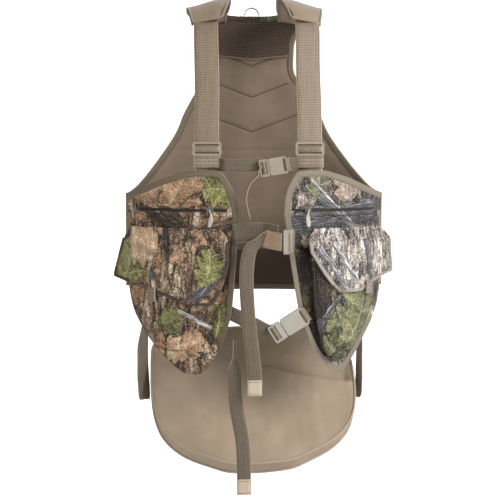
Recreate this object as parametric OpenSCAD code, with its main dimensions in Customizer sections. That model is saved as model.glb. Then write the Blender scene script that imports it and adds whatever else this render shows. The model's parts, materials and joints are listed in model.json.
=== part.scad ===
// Hunting strap vest with a drop-down padded seat, hanging open as worn.
// Origin at the nape hang loop: +X is the wearer's left, +Y points to the back, +Z is up.

/* [Body shape] */
// Radius of the back panel, seen from above
back_radius = 350; // [320:5:380]
// Radius of the two front panels, seen from above
front_radius = 295; // [285:1:305]
// Depth of the vest from the back panel to the front panels
body_depth = 285; // [275:5:295]
// Height of the lower hem below the hang loop
hem_drop = 598; // [590:1:600]
// How far the front panels drift sideways towards their lower end, per unit of drop
hem_drift = 0.045; // [0:0.005:0.05]

/* [Fabric] */
// Thickness of one fabric shell
shell_t = 2; // [1.5:0.5:2.5]
// Thickness of the foam in the back panel
foam_t = 5; // [3:1:5]
// Width of the edge binding tape
binding_w = 12; // [8:1:14]
// Depth of the cargo pockets
pocket_depth = 26; // [16:2:28]

/* [Straps] */
// Width of the shoulder webbing
shoulder_web_w = 48; // [44:1:50]
// Width of the upper waist webbing
waist_web_w = 38; // [34:1:38]
// Width of the lower waist webbing and of both waist tails
tail_web_w = 28; // [25:1:30]
// Width of the sternum webbing
sternum_web_w = 25; // [20:1:25]
// Thickness of all webbing
web_t = 2; // [1.4:0.2:2.2]
// Distance of each shoulder strap from the centre line
strap_x = 100; // [98:1:104]

/* [Seat] */
// Width of the seat pad
seat_w = 424; // [400:4:424]
// Depth of the seat pad from rear to front
seat_depth = 326; // [300:2:330]
// Thickness of the seat pad
seat_t = 44; // [40:1:48]
// Slope of the hanging seat from the horizontal
seat_slope = 50; // [40:1:55]
// Turn of the seat in its own plane
seat_turn = 3; // [0:0.5:4]

/* [Hidden] */

gap = 0.4;
camo = [0.44, 0.37, 0.29];
camo_dark = [0.36, 0.30, 0.23];
tan_cloth = [0.49, 0.42, 0.34];
tan_web = [0.52, 0.46, 0.38];
foam_white = [0.86, 0.85, 0.8];
binding_tan = [0.41, 0.36, 0.3];
buckle_tan = [0.66, 0.64, 0.58];
mesh_brown = [0.28, 0.21, 0.15];
snap_grey = [0.55, 0.55, 0.53];

back_y = -back_radius;
front_y = front_radius - body_depth;
side_x = 262;
curve_steps = 5;

// ---- Curves and outlines -------------------------------------------------------------

// A point on the smooth curve through p1 and p2, whose neighbours are p0 and p3
function between(p0, p1, p2, p3, t) =
    0.5 * (2 * p1 + (p2 - p0) * t + (2 * p0 - 5 * p1 + 4 * p2 - p3) * t * t
        + (3 * p1 - p0 - 3 * p2 + p3) * t * t * t);

// A smooth open curve through the given points
function smooth(p, steps = curve_steps) =
    let (n = len(p))
    concat(
        [for (i = [0:n - 2]) for (k = [0:steps - 1])
            between(p[max(i - 1, 0)], p[i], p[i + 1], p[min(i + 2, n - 1)], k / steps)],
        [p[n - 1]]
    );

function side_normal(a, b) = let (d = (b - a) / norm(b - a)) [-d[1], d[0]];

// The direction in which point i of an open path moves when the path shifts to its left
function miter(p, i) =
    let (
        n1 = side_normal(p[max(i - 1, 0)], p[max(i, 1)]),
        n2 = side_normal(p[min(i, len(p) - 2)], p[min(i + 1, len(p) - 1)])
    )
    (n1 + n2) / (1 + n1 * n2);

// The path moved sideways by d, to the left of its direction of travel
function shifted(p, d) = [for (i = [0:len(p) - 1]) p[i] + d * miter(p, i)];

function reversed(p) = [for (i = [len(p) - 1:-1:0]) p[i]];

function mirrored(p) = [for (q = p) [-q[0], q[1]]];

// The closed outline of a band that follows a path, w wide on the path's left
function band(p, w) = concat(p, reversed(shifted(p, w)));

// A rectangle with round corners, centred on the origin
function round_rect(w, h, r) =
    [for (c = [[1, 1, 0], [-1, 1, 90], [-1, -1, 180], [1, -1, 270]]) for (a = [0:30:90])
        [c[0] * (w / 2 - r) + r * cos(c[2] + a), c[1] * (h / 2 - r) + r * sin(c[2] + a)]];

// ---- Shell builders ------------------------------------------------------------------

module tube(centre_y, r_in, r_out, z_low, z_high) {
    translate([0, centre_y, z_low])
        difference() {
            cylinder(r = r_out, h = z_high - z_low, $fn = 96);
            translate([0, 0, -1])
                cylinder(r = r_in, h = z_high - z_low + 2, $fn = 96);
        }
}

// An outline in X and Z, swept from y_low to y_high
module swept_outline(points, y_low, y_high) {
    translate([0, y_high, 0])
        rotate([90, 0, 0])
            linear_extrude(height = y_high - y_low)
                polygon(points);
}

// A patch of the back panel's curved surface, between two radii
module back_patch(points, r_in, r_out) {
    intersection() {
        tube(back_y, r_in, r_out, -640, 20);
        swept_outline(points, -160, 60);
    }
}

// A patch of the front panels' curved surface, between two radii
module front_patch(points, r_in, r_out) {
    intersection() {
        tube(front_y, r_in, r_out, -760, -300);
        swept_outline(points, -400, -60);
    }
}

// Places a piece on the front surface: local -Y points outward, side is +1 or -1
module on_front(side, turn, r, z) {
    translate([0, front_y, 0])
        rotate([0, 0, side * turn])
            translate([0, -r, z])
                children();
}

// ---- Back ----------------------------------------------------------------------------

neck_z = -18;
neck_x = 60;
armhole_path = smooth([
    [118, -22], [108, -42], [92, -66], [88, -100], [90, -138], [112, -168],
    [142, -222], [162, -268], [204, -330], [238, -372], [side_x, -392]
]);
hem_path = smooth([
    [side_x, -576], [232, -588], [180, 1 - hem_drop], [90, -hem_drop], [0, -hem_drop],
    [-90, -hem_drop], [-180, 1 - hem_drop], [-232, -588], [-side_x, -576]
]);

// The closed outline of a back layer, inset from the bound edges
function back_outline(inset) =
    let (armhole = shifted(armhole_path, -inset))
    concat(
        [[neck_x, neck_z - inset]], armhole,
        [[side_x, -396 - inset], [side_x, -572]],
        shifted(hem_path, -inset),
        [[-side_x, -572], [-side_x, -396 - inset]], reversed(mirrored(armhole)),
        [[-neck_x, neck_z - inset]]
    );

lining_r = back_radius - 4;
foam_r = lining_r + shell_t + gap;
shell_r = foam_r + foam_t + gap;
back_r = shell_r + shell_t;

module back_lining() {
    color(tan_cloth)
        back_patch(back_outline(binding_w + gap), lining_r, lining_r + shell_t);
}

module back_foam() {
    color(foam_white)
        back_patch(back_outline(binding_w + 4), foam_r, foam_r + foam_t);
}

module back_shell() {
    color(camo)
        back_patch(back_outline(binding_w + gap), shell_r, back_r);
}

module mesh_panel() {
    points = [
        [-64, -38], [-76, -100], [-40, -104], [0, -118], [40, -104], [76, -100], [64, -38]
    ];
    color(mesh_brown)
        back_patch(points, lining_r - 1.2 - gap, lining_r - gap);
}

module game_bag() {
    points = smooth([
        [-190, -420], [-196, -500], [-186, -572], [0, -584],
        [186, -572], [196, -500], [190, -420]
    ]);
    color(camo_dark)
        difference() {
            back_patch(points, back_r + gap, back_r + 18);
            back_patch(
                [[-182, -380], [-186, -564], [186, -564], [182, -380]],
                back_r + gap + 3, back_r + 15
            );
        }
}

module collar_band() {
    points = [
        [-neck_x, neck_z], [-neck_x, neck_z - binding_w], [neck_x, neck_z - binding_w],
        [neck_x, neck_z]
    ];
    color(camo)
        back_patch(points, lining_r - 1, back_r + 1);
}

loop_r = 14;
module hang_loop() {
    color(tan_web)
        translate([0, 6, -loop_r])
            rotate([90, 0, 0])
                linear_extrude(height = 12)
                    difference() {
                        union() {
                            circle(r = loop_r + web_t, $fn = 48);
                            translate([-loop_r - web_t, -3])
                                square([2 * (loop_r + web_t), 3]);
                        }
                        circle(r = loop_r, $fn = 48);
                        translate([-30, -33])
                            square([60, 30]);
                    }
}

module armhole_binding(side) {
    points = band(armhole_path, -binding_w);
    color(binding_tan)
        back_patch(side > 0 ? points : mirrored(points), lining_r - 1, back_r + 1);
}

module hem_binding() {
    color(binding_tan)
        back_patch(band(hem_path, -binding_w), lining_r - 1, back_r + 1);
}

// ---- Shoulders -----------------------------------------------------------------------

pad_r = 120;
pad_t = 7;
pad_y = -97;
pad_z = -122;
pad_front_y = -198;

// The pad's outline in X and Y, seen from above
module pad_outline(side) {
    points = smooth([
        [70, pad_front_y], [58, -160], [48, -110], [50, -50], [60, -29]
    ]);
    outer = smooth([[112, -31], [132, -60], [138, -100], [134, -150], [126, pad_front_y]]);
    all_points = concat(points, outer);
    polygon(side > 0 ? all_points : mirrored(all_points));
}

module pad_layer(side, r_in, r_out) {
    intersection() {
        translate([0, pad_y, pad_z])
            rotate([0, 90, 0])
                translate([0, 0, -160])
                    difference() {
                        cylinder(r = r_out, h = 320, $fn = 96);
                        translate([0, 0, -1])
                            cylinder(r = r_in, h = 322, $fn = 96);
                    }
        translate([0, 0, -60])
            linear_extrude(height = 120)
                pad_outline(side);
    }
}

module shoulder_pad(side) {
    color(tan_cloth)
        pad_layer(side, pad_r, pad_r + pad_t);
}

module shoulder_yoke(side) {
    color(camo)
        pad_layer(side, pad_r + pad_t + gap, pad_r + pad_t + gap + shell_t);
}

strap_lean = -12;
strap_top = [-202, -50];
strap_len = 291;
adjuster_drop = 256;
adjuster_h = 27;
adjuster_t = 8;

// Local frame of a shoulder strap: it hangs along -Z and faces -Y
module strap_frame(side) {
    translate([side * strap_x, strap_top[0], strap_top[1]])
        rotate([strap_lean, 0, 0])
            children();
}

module shoulder_strap(side) {
    color(tan_web)
        strap_frame(side)
            translate([-shoulder_web_w / 2, -web_t / 2, -strap_len])
                cube([shoulder_web_w, web_t, strap_len]);
}

module strap_tab(side) {
    tab_w = shoulder_web_w + 4;
    tab_h = 20;
    color(tan_web)
        strap_frame(side)
            translate([-tab_w / 2, -web_t * 1.5 - gap, -strap_len])
                cube([tab_w, web_t, tab_h]);
}

module strap_adjuster(side) {
    frame_w = shoulder_web_w + 8;
    window_h = 7;
    color(buckle_tan)
        strap_frame(side)
            translate([0, 0, -adjuster_drop])
                difference() {
                    translate([0, adjuster_t / 2, 0])
                        rotate([90, 0, 0])
                            linear_extrude(height = adjuster_t)
                                polygon(round_rect(frame_w, adjuster_h, 4));
                    cube([shoulder_web_w + 1.5, web_t + 1.4, 40], center = true);
                    for (z = [-6.5, 6.5])
                        translate([0, -4, z])
                            cube([shoulder_web_w - 1, 8, window_h], center = true);
                    translate([0, 4, 0])
                        cube([shoulder_web_w - 1, 8, 15], center = true);
                }
}

// ---- Front panels --------------------------------------------------------------------

panel_r = front_radius - 0.5;
panel_out = front_radius + shell_t;
zip_z = -418;
panel_inner = smooth([
    [74, -342], [52, -380], [45, -418], [46, -450], [64, -602], [75, -645], [90, -684],
    [110, -716], [128, -736], [155, -738], [182, -714], [209, -682], [243, -628],
    [255, -585], [257, -546], [254, -480], [258, -420]
], 4);
panel_top = smooth([[261, -388], [222, -374], [180, -356], [128, -341]], 2);

// Moves a point of the inner and lower edge sideways, more the lower it is
function drifted(q, side) =
    [q[0] + side * hem_drift * max(0, -340 - q[1]) * min(1, max(0, (215 - q[0]) / 90)), q[1]];

function panel_edge(side) =
    let (p = concat([for (q = panel_inner) drifted(q, side)], panel_top))
    concat(p, [p[0]]);

// The inset outline of a closed loop that ends where it starts
function inset_loop(p, d) =
    let (n = len(p) - 1)
    [for (i = [0:n - 1])
        let (
            n1 = side_normal(p[(i + n - 1) % n], p[i]),
            n2 = side_normal(p[i], p[i + 1])
        )
        p[i] + d * (n1 + n2) / max(0.6, 1 + n1 * n2)];

function panel_outline(side, inset) =
    let (p = inset_loop(panel_edge(side), inset))
    side > 0 ? p : mirrored(p);

module front_panel(side) {
    color(camo)
        front_patch(panel_outline(side, binding_w + gap), panel_r, panel_out);
}

module front_binding(side) {
    color(binding_tan)
        difference() {
            front_patch(panel_outline(side, 0), panel_r - 1.4, panel_out + 1.6);
            front_patch(panel_outline(side, binding_w), panel_r - 4, panel_out + 4);
        }
}

module zip_track(side) {
    teeth_h = 5;
    tape_h = 24;
    x_in = side > 0 ? 68 : 60;
    tape = [[x_in, 0], [238, 0], [238, 1], [x_in, 1]];
    color(camo_dark)
        for (layer = [[tape_h, panel_out + gap, 1], [teeth_h, panel_out + gap + 0.9, 2]])
            front_patch(
                [for (q = tape) [side * q[0], zip_z + (q[1] - 0.5) * layer[0]]],
                layer[1], layer[1] + layer[2]
            );
}

slider_r = panel_out + gap + 3.4;
slider_turn = 18.2;
module zip_slider(side) {
    color(snap_grey)
        on_front(side, slider_turn, slider_r, zip_z)
            difference() {
                rotate([90, 0, 0])
                    linear_extrude(height = 4)
                        polygon(round_rect(13, 8, 3));
                translate([0, -2.6, 0])
                    cube([4, 1.6, 20], center = true);
            }
}

cord_len = 34;
module zip_cord(side) {
    color([0.85, 0.8, 0.7])
        on_front(side, slider_turn, slider_r + 4.8, zip_z)
            translate([0, 0, -cord_len + 2]) {
                translate([0, -2, 10])
                    cylinder(r = 1.5, h = cord_len - 10, $fn = 24);
                translate([-3.5, -4, 0])
                    cube([7, 4, 12]);
            }
}

// ---- Cargo pockets -------------------------------------------------------------------

pocket_in = panel_out + 2.2;
pocket_out = pocket_in + pocket_depth;
flap_in = pocket_out + 1.6;
flap_out = flap_in + 3;
flap_top = -470;

pocket_left_points = smooth([
    [84, -486], [92, -560], [92, -640], [92, -690], [106, -716], [134, -723], [158, -712],
    [176, -692], [204, -660], [228, -612], [238, -570], [236, -486]
], 3);
pocket_right_points = smooth([
    [104, -486], [104, -560], [110, -620], [122, -672], [138, -706], [160, -716],
    [178, -700], [204, -668], [228, -620], [238, -575], [236, -486]
], 3);

flap_left_points = concat(
    [[62, flap_top]],
    smooth([[62, -517], [76, -566], [96, -596], [130, -601], [174, -584]], 3),
    smooth([[212, -573], [258, -559], [284, -552]], 3),
    [[262, flap_top]]
);
flap_right_points = concat(
    [[96, flap_top]],
    smooth([[100, -497], [128, -540], [156, -574], [172, -579], [202, -574]], 3),
    smooth([[222, -562], [252, -548], [274, -542]], 3),
    [[268, flap_top]]
);

module cargo_pocket(side) {
    points = side > 0 ? pocket_right_points : pocket_left_points;
    inner = inset_loop(concat(points, [points[0]]), 3);
    raised = [for (q = inner) q[1] > -500 ? [q[0], q[1] + 30] : q];
    color(camo)
        difference() {
            front_patch(side > 0 ? points : mirrored(points), pocket_in, pocket_out);
            front_patch(side > 0 ? raised : mirrored(raised), pocket_in + 2, pocket_out - 2);
        }
}

module flap(side) {
    points = side > 0 ? flap_right_points : mirrored(flap_left_points);
    color(camo)
        front_patch(points, flap_in, flap_out);
}

// Height and turn of the snap under each flap
function snap_z(side) = side > 0 ? -532 : -545;
function snap_turn(side) = side > 0 ? 41.5 : 39;

module snap_cap(side) {
    color(snap_grey)
        on_front(side, snap_turn(side), flap_out + 0.3, snap_z(side))
            rotate([90, 0, 0]) {
                cylinder(r = 7.5, h = 2, $fn = 48);
                cylinder(r = 5.5, h = 3, $fn = 48);
            }
}

module snap_studs() {
    color(snap_grey)
        for (side = [-1, 1])
            on_front(side, snap_turn(side), pocket_out + 0.2, snap_z(side))
                rotate([90, 0, 0])
                    cylinder(r = 5, h = 1, $fn = 48);
}

module pull_tab(side) {
    color(tan_web)
        on_front(side, snap_turn(side), flap_out + 0.4, snap_z(side) - 38)
            translate([-11, -web_t, -14])
                cube([22, web_t, 28]);
}

// ---- Buckles -------------------------------------------------------------------------

buckle_t = 10;

// Plug of a side-release buckle. The web end is at x = 0 and the prongs point along +X
module buckle_plug(length, web_w) {
    body_w = web_w + 8;
    frame_l = length * 0.34;
    slot_l = 4.5;
    prong_l = length * 0.42;
    rotate([90, 0, 0])
        translate([0, 0, -buckle_t / 2 + 1]) {
            linear_extrude(height = buckle_t - 2)
                difference() {
                    translate([frame_l / 2, 0])
                        polygon(round_rect(frame_l, body_w, 3));
                    for (x = [3, 6 + slot_l])
                        translate([x, -(web_w + 1.5) / 2])
                            square([slot_l, web_w + 1.5]);
                }
            for (y = [-body_w / 2 + 4, -2.5, body_w / 2 - 9])
                translate([frame_l - 2, y, 2.2])
                    cube([prong_l + 2, 5, buckle_t - 6.4]);
        }
}

// Socket of a side-release buckle, in the same local frame as its plug
module buckle_socket(length, web_w) {
    body_w = web_w + 8;
    x0 = length * 0.36;
    body_l = length - x0;
    cavity_l = length * 0.46;
    rotate([90, 0, 0])
        translate([0, 0, -buckle_t / 2])
            difference() {
                linear_extrude(height = buckle_t)
                    difference() {
                        translate([x0 + body_l / 2, 0])
                            polygon(round_rect(body_l, body_w, 4));
                        translate([length - 7.5, -(web_w + 1.5) / 2])
                            square([4, web_w + 1.5]);
                    }
                translate([x0 - 1, -body_w / 2 + 2.5, 2])
                    cube([cavity_l + 1, body_w - 5, buckle_t - 4]);
                for (y = [-body_w / 2 - 1, body_w / 2 - 3])
                    translate([x0 + 8, y, 2.5])
                        cube([length * 0.2, 4, buckle_t - 5]);
            }
}

sternum_l = 54;
waist_l = 76;
module sternum_frame() {
    translate([0, -288, -338]) rotate([0, -9, 0]) children();
}
module upper_waist_frame() {
    translate([46, -344, -476]) rotate([0, 0, 75]) children();
}
module lower_waist_frame() {
    translate([24, -292, -660]) rotate([0, -32, 0]) children();
}

module sternum_plug() {
    color(buckle_tan) sternum_frame() buckle_plug(sternum_l, sternum_web_w);
}

module sternum_socket() {
    color(buckle_tan) sternum_frame() buckle_socket(sternum_l, sternum_web_w);
}

module upper_waist_plug() {
    color(buckle_tan) upper_waist_frame() buckle_plug(waist_l - 18, waist_web_w);
}

module upper_waist_socket() {
    color(buckle_tan) upper_waist_frame() buckle_socket(waist_l - 18, waist_web_w);
}

module lower_waist_plug() {
    color(buckle_tan) lower_waist_frame() buckle_plug(waist_l, tail_web_w);
}

module lower_waist_socket() {
    color(buckle_tan) lower_waist_frame() buckle_socket(waist_l, tail_web_w);
}

// ---- Chest and waist webbing ---------------------------------------------------------

// Webbing that follows a path seen from above, web_w tall around the height z
module level_web(path, web_w, z) {
    translate([0, 0, z - web_w / 2])
        linear_extrude(height = web_w)
            polygon(band(path, web_t));
}

module sternum_strap() {
    color(tan_web)
        level_web([[-122, -275], [-74, -276], [-34, -281], [2, -281]], sternum_web_w, -329);
}

module sternum_anchor() {
    color(tan_web)
        level_web([[53, -282.4], [74, -276], [122, -275]], sternum_web_w, -329);
}

module sternum_tail() {
    path = smooth([[-4, -352], [-18, -364], [-27, -388], [-25, -412], [-19, -436]], 3);
    color(tan_web)
        translate([0, -286, 0])
            rotate([90, 0, 0])
                linear_extrude(height = sternum_web_w)
                    polygon(band(path, web_t));
}

module upper_waist_strap() {
    color(tan_web)
        level_web([[-52, -291], [-38, -293], [8, -306], [32, -330]], waist_web_w, -463);
}

// A strap that hangs along a path of points in X and Z, in front of y
module hanging_web(centres, y) {
    left = [for (q = centres) q - [tail_web_w / 2, 0]];
    color(tan_web)
        swept_outline(concat(left, reversed([for (q = left) q + [tail_web_w, 0]])), y - web_t, y);
}

module upper_waist_tail() {
    hanging_web(
        smooth([[-18, -487], [-26, -522], [-26, -580], [-19, -660], [-12, -720], [-11, -772]], 3),
        -322
    );
}

lower_strap_start = [-52, -287, -619];
module lower_waist_strap() {
    color(tan_web)
        translate(lower_strap_start)
            rotate([0, 25, 0])
                translate([0, 0, -tail_web_w / 2])
                    cube([78, web_t, tail_web_w]);
}

module lower_waist_tail() {
    hanging_web(
        smooth([[-48, -662], [-49, -740], [-45, -800], [-33, -870], [-30, -970]], 3),
        -298
    );
}

// ---- Seat ----------------------------------------------------------------------------

seat_rear = [-10, -677];
seat_top_t = 6;
seat_wall = 3;

// The seat's outline: round rear corners, widest past the middle, a long curved front
seat_half = concat(
    [for (a = [0:15:75]) [seat_w / 2 - 62 + 60 * sin(a), -60 + 60 * cos(a)]],
    smooth([
        [seat_w / 2 - 2, -70], [seat_w / 2, -160], [seat_w / 2 - 16, -232],
        [seat_w / 2 - 58, -280], [seat_w / 2 - 118, -310], [60, -322], [0, -seat_depth]
    ], 3)
);

function seat_points() =
    let (n = len(seat_half))
    concat(seat_half, [for (i = [n - 2:-1:0]) [-seat_half[i][0], seat_half[i][1]]]);

function seat_inset(d) = inset_loop(concat(seat_points(), [seat_points()[0]]), -d);

// Local frame of the seat: top face at z = 0, rear edge at y = 0, front towards -Y
module seat_frame() {
    translate([0, seat_rear[0], seat_rear[1]])
        rotate([seat_slope, 0, 0])
            translate([0, -seat_depth / 2, 0])
                rotate([0, 0, seat_turn])
                    translate([0, seat_depth / 2, 0])
                        children();
}

module seat_slab(inset, z_low, z_high) {
    translate([0, 0, z_low])
        linear_extrude(height = z_high - z_low)
            polygon(seat_inset(inset));
}

module seat_cover() {
    color(tan_cloth)
        seat_frame()
            seat_slab(0, -seat_top_t, 0);
}

module seat_base() {
    color(tan_cloth)
        seat_frame()
            seat_slab(0, -seat_t, seat_top_t - seat_t);
}

module seat_boxing() {
    z_low = seat_top_t - seat_t + gap;
    z_high = -seat_top_t - gap;
    color(tan_cloth)
        seat_frame()
            difference() {
                seat_slab(0, z_low, z_high);
                seat_slab(seat_wall, z_low - 1, z_high + 1);
            }
}

module seat_foam() {
    color(foam_white)
        seat_frame()
            seat_slab(seat_wall + gap, seat_top_t - seat_t + gap, -seat_top_t - gap);
}

hanger_x = 222;
hanger_top = [-73, -622];
hanger_foot = [-83, -798];
module seat_hanger(side) {
    points = concat(
        [for (a = [0:30:180]) hanger_top + 14 * [cos(a), sin(a)]],
        [for (a = [180:30:360]) hanger_foot + 24 * [cos(a), sin(a)]]
    );
    color(tan_web)
        translate([side * hanger_x - 1.5, 0, 0])
            rotate([90, 0, 90])
                linear_extrude(height = 3)
                    polygon(points);
}

// ---- Nodes ---------------------------------------------------------------------------

back_lining();
back_foam();
back_shell();
mesh_panel();
game_bag();
collar_band();
hang_loop();
armhole_binding(-1);  // armhole_binding_left
armhole_binding(1);  // armhole_binding_right
hem_binding();
shoulder_pad(-1);  // shoulder_pad_left
shoulder_pad(1);  // shoulder_pad_right
shoulder_yoke(-1);  // shoulder_yoke_left
shoulder_yoke(1);  // shoulder_yoke_right
shoulder_strap(-1);  // shoulder_strap_left
shoulder_strap(1);  // shoulder_strap_right
strap_tab(-1);  // strap_tab_left
strap_tab(1);  // strap_tab_right
strap_adjuster(-1);  // strap_adjuster_left
strap_adjuster(1);  // strap_adjuster_right
front_panel(-1);  // front_panel_left
front_panel(1);  // front_panel_right
front_binding(-1);  // front_binding_left
front_binding(1);  // front_binding_right
zip_track(-1);  // zip_track_left
zip_track(1);  // zip_track_right
zip_slider(-1);  // zip_slider_left
zip_slider(1);  // zip_slider_right
zip_cord(-1);  // zip_cord_left
zip_cord(1);  // zip_cord_right
cargo_pocket(-1);  // cargo_pocket_left
cargo_pocket(1);  // cargo_pocket_right
flap(-1);  // flap_left
flap(1);  // flap_right
pull_tab(-1);  // pull_tab_left
pull_tab(1);  // pull_tab_right
snap_cap(-1);  // snap_cap_left
snap_cap(1);  // snap_cap_right
snap_studs();
sternum_strap();
sternum_tail();
sternum_plug();
sternum_socket();
sternum_anchor();
upper_waist_strap();
upper_waist_tail();
upper_waist_plug();
upper_waist_socket();
lower_waist_strap();
lower_waist_tail();
lower_waist_plug();
lower_waist_socket();
seat_cover();
seat_boxing();
seat_foam();
seat_base();
seat_hanger(-1);  // seat_hanger_left
seat_hanger(1);  // seat_hanger_right
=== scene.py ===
"""Looks of a hunting strap vest with a drop-down seat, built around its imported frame.

Units are metres. +X is camera right, +Y the back of the vest, +Z up. Sheets of cloth follow two
upright cylinders, one through the back panel and one through the front panels. Their outlines are
read from the frame's nodes. Every cloth piece carries a "cloth" attribute, its own flat
coordinates in metres, which drives the weave and the printed pattern. On a strip the third one is
the share across it. Stitches have none, so they show one even tone.
"""
import json
import math

import bmesh
import bpy
import numpy as np
from mathutils import Matrix, Vector, noise


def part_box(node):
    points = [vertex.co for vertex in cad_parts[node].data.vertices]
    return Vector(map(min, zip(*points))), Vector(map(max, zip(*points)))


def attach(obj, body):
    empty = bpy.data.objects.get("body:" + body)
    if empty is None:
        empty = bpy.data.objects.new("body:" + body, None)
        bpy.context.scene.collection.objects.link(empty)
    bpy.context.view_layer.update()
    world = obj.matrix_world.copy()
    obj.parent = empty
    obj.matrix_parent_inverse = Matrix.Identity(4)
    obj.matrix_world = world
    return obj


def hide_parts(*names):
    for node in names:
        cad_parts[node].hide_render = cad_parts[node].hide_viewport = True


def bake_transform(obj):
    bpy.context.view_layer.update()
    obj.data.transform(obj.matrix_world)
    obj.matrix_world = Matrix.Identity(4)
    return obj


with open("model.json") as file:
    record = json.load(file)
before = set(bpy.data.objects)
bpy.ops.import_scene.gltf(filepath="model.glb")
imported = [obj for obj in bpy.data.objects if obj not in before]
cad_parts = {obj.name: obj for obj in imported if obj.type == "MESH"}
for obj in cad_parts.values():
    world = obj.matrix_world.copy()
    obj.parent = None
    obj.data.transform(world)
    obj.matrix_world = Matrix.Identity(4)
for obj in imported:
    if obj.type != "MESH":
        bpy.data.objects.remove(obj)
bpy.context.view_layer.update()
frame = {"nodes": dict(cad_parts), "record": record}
NODES = frame["nodes"]
BODY_OF = {node: body for body, nodes in frame["record"]["behaviour"]["bodies"].items() for node in nodes}
SIDES = {"left": -1, "right": 1}
UP = np.array([0.0, 0.0, 1.0])


# ---- Frame readings ------------------------------------------------------------------

def lowest(name):
    return np.array(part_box(name)[0])


def highest(name):
    return np.array(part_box(name)[1])


def centre(name):
    return (lowest(name) + highest(name)) / 2


class Slices:
    """The lowest and highest value of one coordinate of some nodes, at a value of another one."""

    def __init__(self, *names, along=2, across=0, local=None):
        ends = []
        for name in names:
            mesh = NODES[name].data
            co = np.array([v.co for v in mesh.vertices])
            if local is not None:
                co = to_local(co, local)
            ends.append(co[np.array([e.vertices for e in mesh.edges])])
        ends = np.concatenate(ends)
        self.a, self.b = ends[:, 0, along], ends[:, 1, along]
        self.c, self.d = ends[:, 0, across], ends[:, 1, across]
        self.low = min(self.a.min(), self.b.min())
        self.high = max(self.a.max(), self.b.max())

    def at(self, value, inset=0.0003):
        """The two limits at a value, which is kept inside the nodes' ends by inset."""
        value = min(max(value, self.low + inset), self.high - inset)
        hit = ((self.a - value) * (self.b - value) <= 0) & (np.abs(self.a - self.b) > 1e-9)
        t = (value - self.a[hit]) / (self.b[hit] - self.a[hit])
        found = self.c[hit] + t * (self.d[hit] - self.c[hit])
        return found.min(), found.max()

    def middle(self, value):
        low, high = self.at(value)
        return (low + high) / 2


def to_local(rows, matrix):
    """Points of the shared frame, seen from a local frame."""
    inverse = np.array(matrix.inverted())
    return np.asarray(rows, float) @ inverse[:3, :3].T + inverse[:3, 3]


def to_frame(rows, matrix):
    """Points of a local frame, in the shared frame."""
    m = np.array(matrix)
    return np.asarray(rows, float) @ m[:3, :3].T + m[:3, 3]


def aim(direction, matrix):
    """A direction of a local frame, in the shared frame."""
    return np.array(matrix)[:3, :3] @ np.array(direction, float)


class Cylinder:
    """An upright cylinder that cloth follows. bulge is +1 where cloth is on its +Y side."""

    REACH = 0.985  # How far out cloth may lie, as a share of the radius

    def __init__(self, centre_y, radius, bulge):
        self.centre_y, self.radius, self.bulge = centre_y, radius, bulge

    def held(self, x, r):
        return min(max(x, -r * self.REACH), r * self.REACH)

    def at(self, x, z, lift=0.0):
        r = self.radius + lift
        x = self.held(x, r)
        return np.array([x, self.centre_y + self.bulge * math.sqrt(r * r - x * x), z])

    def normal(self, x, lift=0.0):
        r = self.radius + lift
        x = self.held(x, r)
        return np.array([x / r, self.bulge * math.sqrt(1 - (x / r) ** 2), 0.0])

    def normals(self, xz):
        return np.array([self.normal(x) for x, _ in xz])

    def arc(self, x):
        """Distance from the middle line to x, along the surface."""
        return self.radius * math.asin(self.held(x, self.radius) / self.radius)


BACK_R = 0.350
FRONT_R = 0.295
BACK = Cylinder(-BACK_R, BACK_R, 1)
FRONT = Cylinder(0.010, FRONT_R, -1)


# ---- Curves --------------------------------------------------------------------------

SPLINE_PIECES = 12


def spline(points, step):
    """Points on a smooth curve through the given rows, evenly spaced along X, Y and Z."""
    p = np.array(points, float)
    fine = []
    for i in range(len(p) - 1):
        a, b, c, d = p[max(i - 1, 0)], p[i], p[i + 1], p[min(i + 2, len(p) - 1)]
        for t in np.linspace(0, 1, SPLINE_PIECES, endpoint=False):
            fine.append(0.5 * (2 * b + (c - a) * t + (2 * a - 5 * b + 4 * c - d) * t * t
                               + (3 * b - a - 3 * c + d) * t ** 3))
    fine.append(p[-1])
    return even(np.array(fine), step)


def even(rows, step):
    """The same polyline with its points evenly spaced along X, Y and Z."""
    gaps = np.linalg.norm(np.diff(rows[:, :3], axis=0), axis=1)
    along = np.concatenate([[0], np.cumsum(gaps)])
    count = max(2, int(round(along[-1] / step)) + 1)
    places = np.linspace(0, along[-1], count)
    return np.stack([np.interp(places, along, rows[:, k]) for k in range(rows.shape[1])], 1)


def unit(v):
    v = np.asarray(v, float)
    return v / np.maximum(np.linalg.norm(v, axis=-1, keepdims=True), 1e-12)


def tangents(rows, closed=False):
    if closed:
        return unit(np.roll(rows, -1, 0) - np.roll(rows, 1, 0))
    return unit(np.gradient(rows[:, :3], axis=0))


def soft(x, low, high):
    """0 below low, 1 above high and a smooth step between."""
    t = np.clip((x - low) / (high - low), 0, 1)
    return t * t * (3 - 2 * t)


def eased(t):
    """t from 0 to 1, crowded towards both ends."""
    return 0.5 - 0.5 * math.cos(math.pi * t)


def ripple(x, z, size, seed):
    """Smooth noise between about -1 and 1, with folds about size wide."""
    return noise.noise(Vector((x / size, z / size, seed * 7.31)))


# ---- Mesh builders -------------------------------------------------------------------

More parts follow.
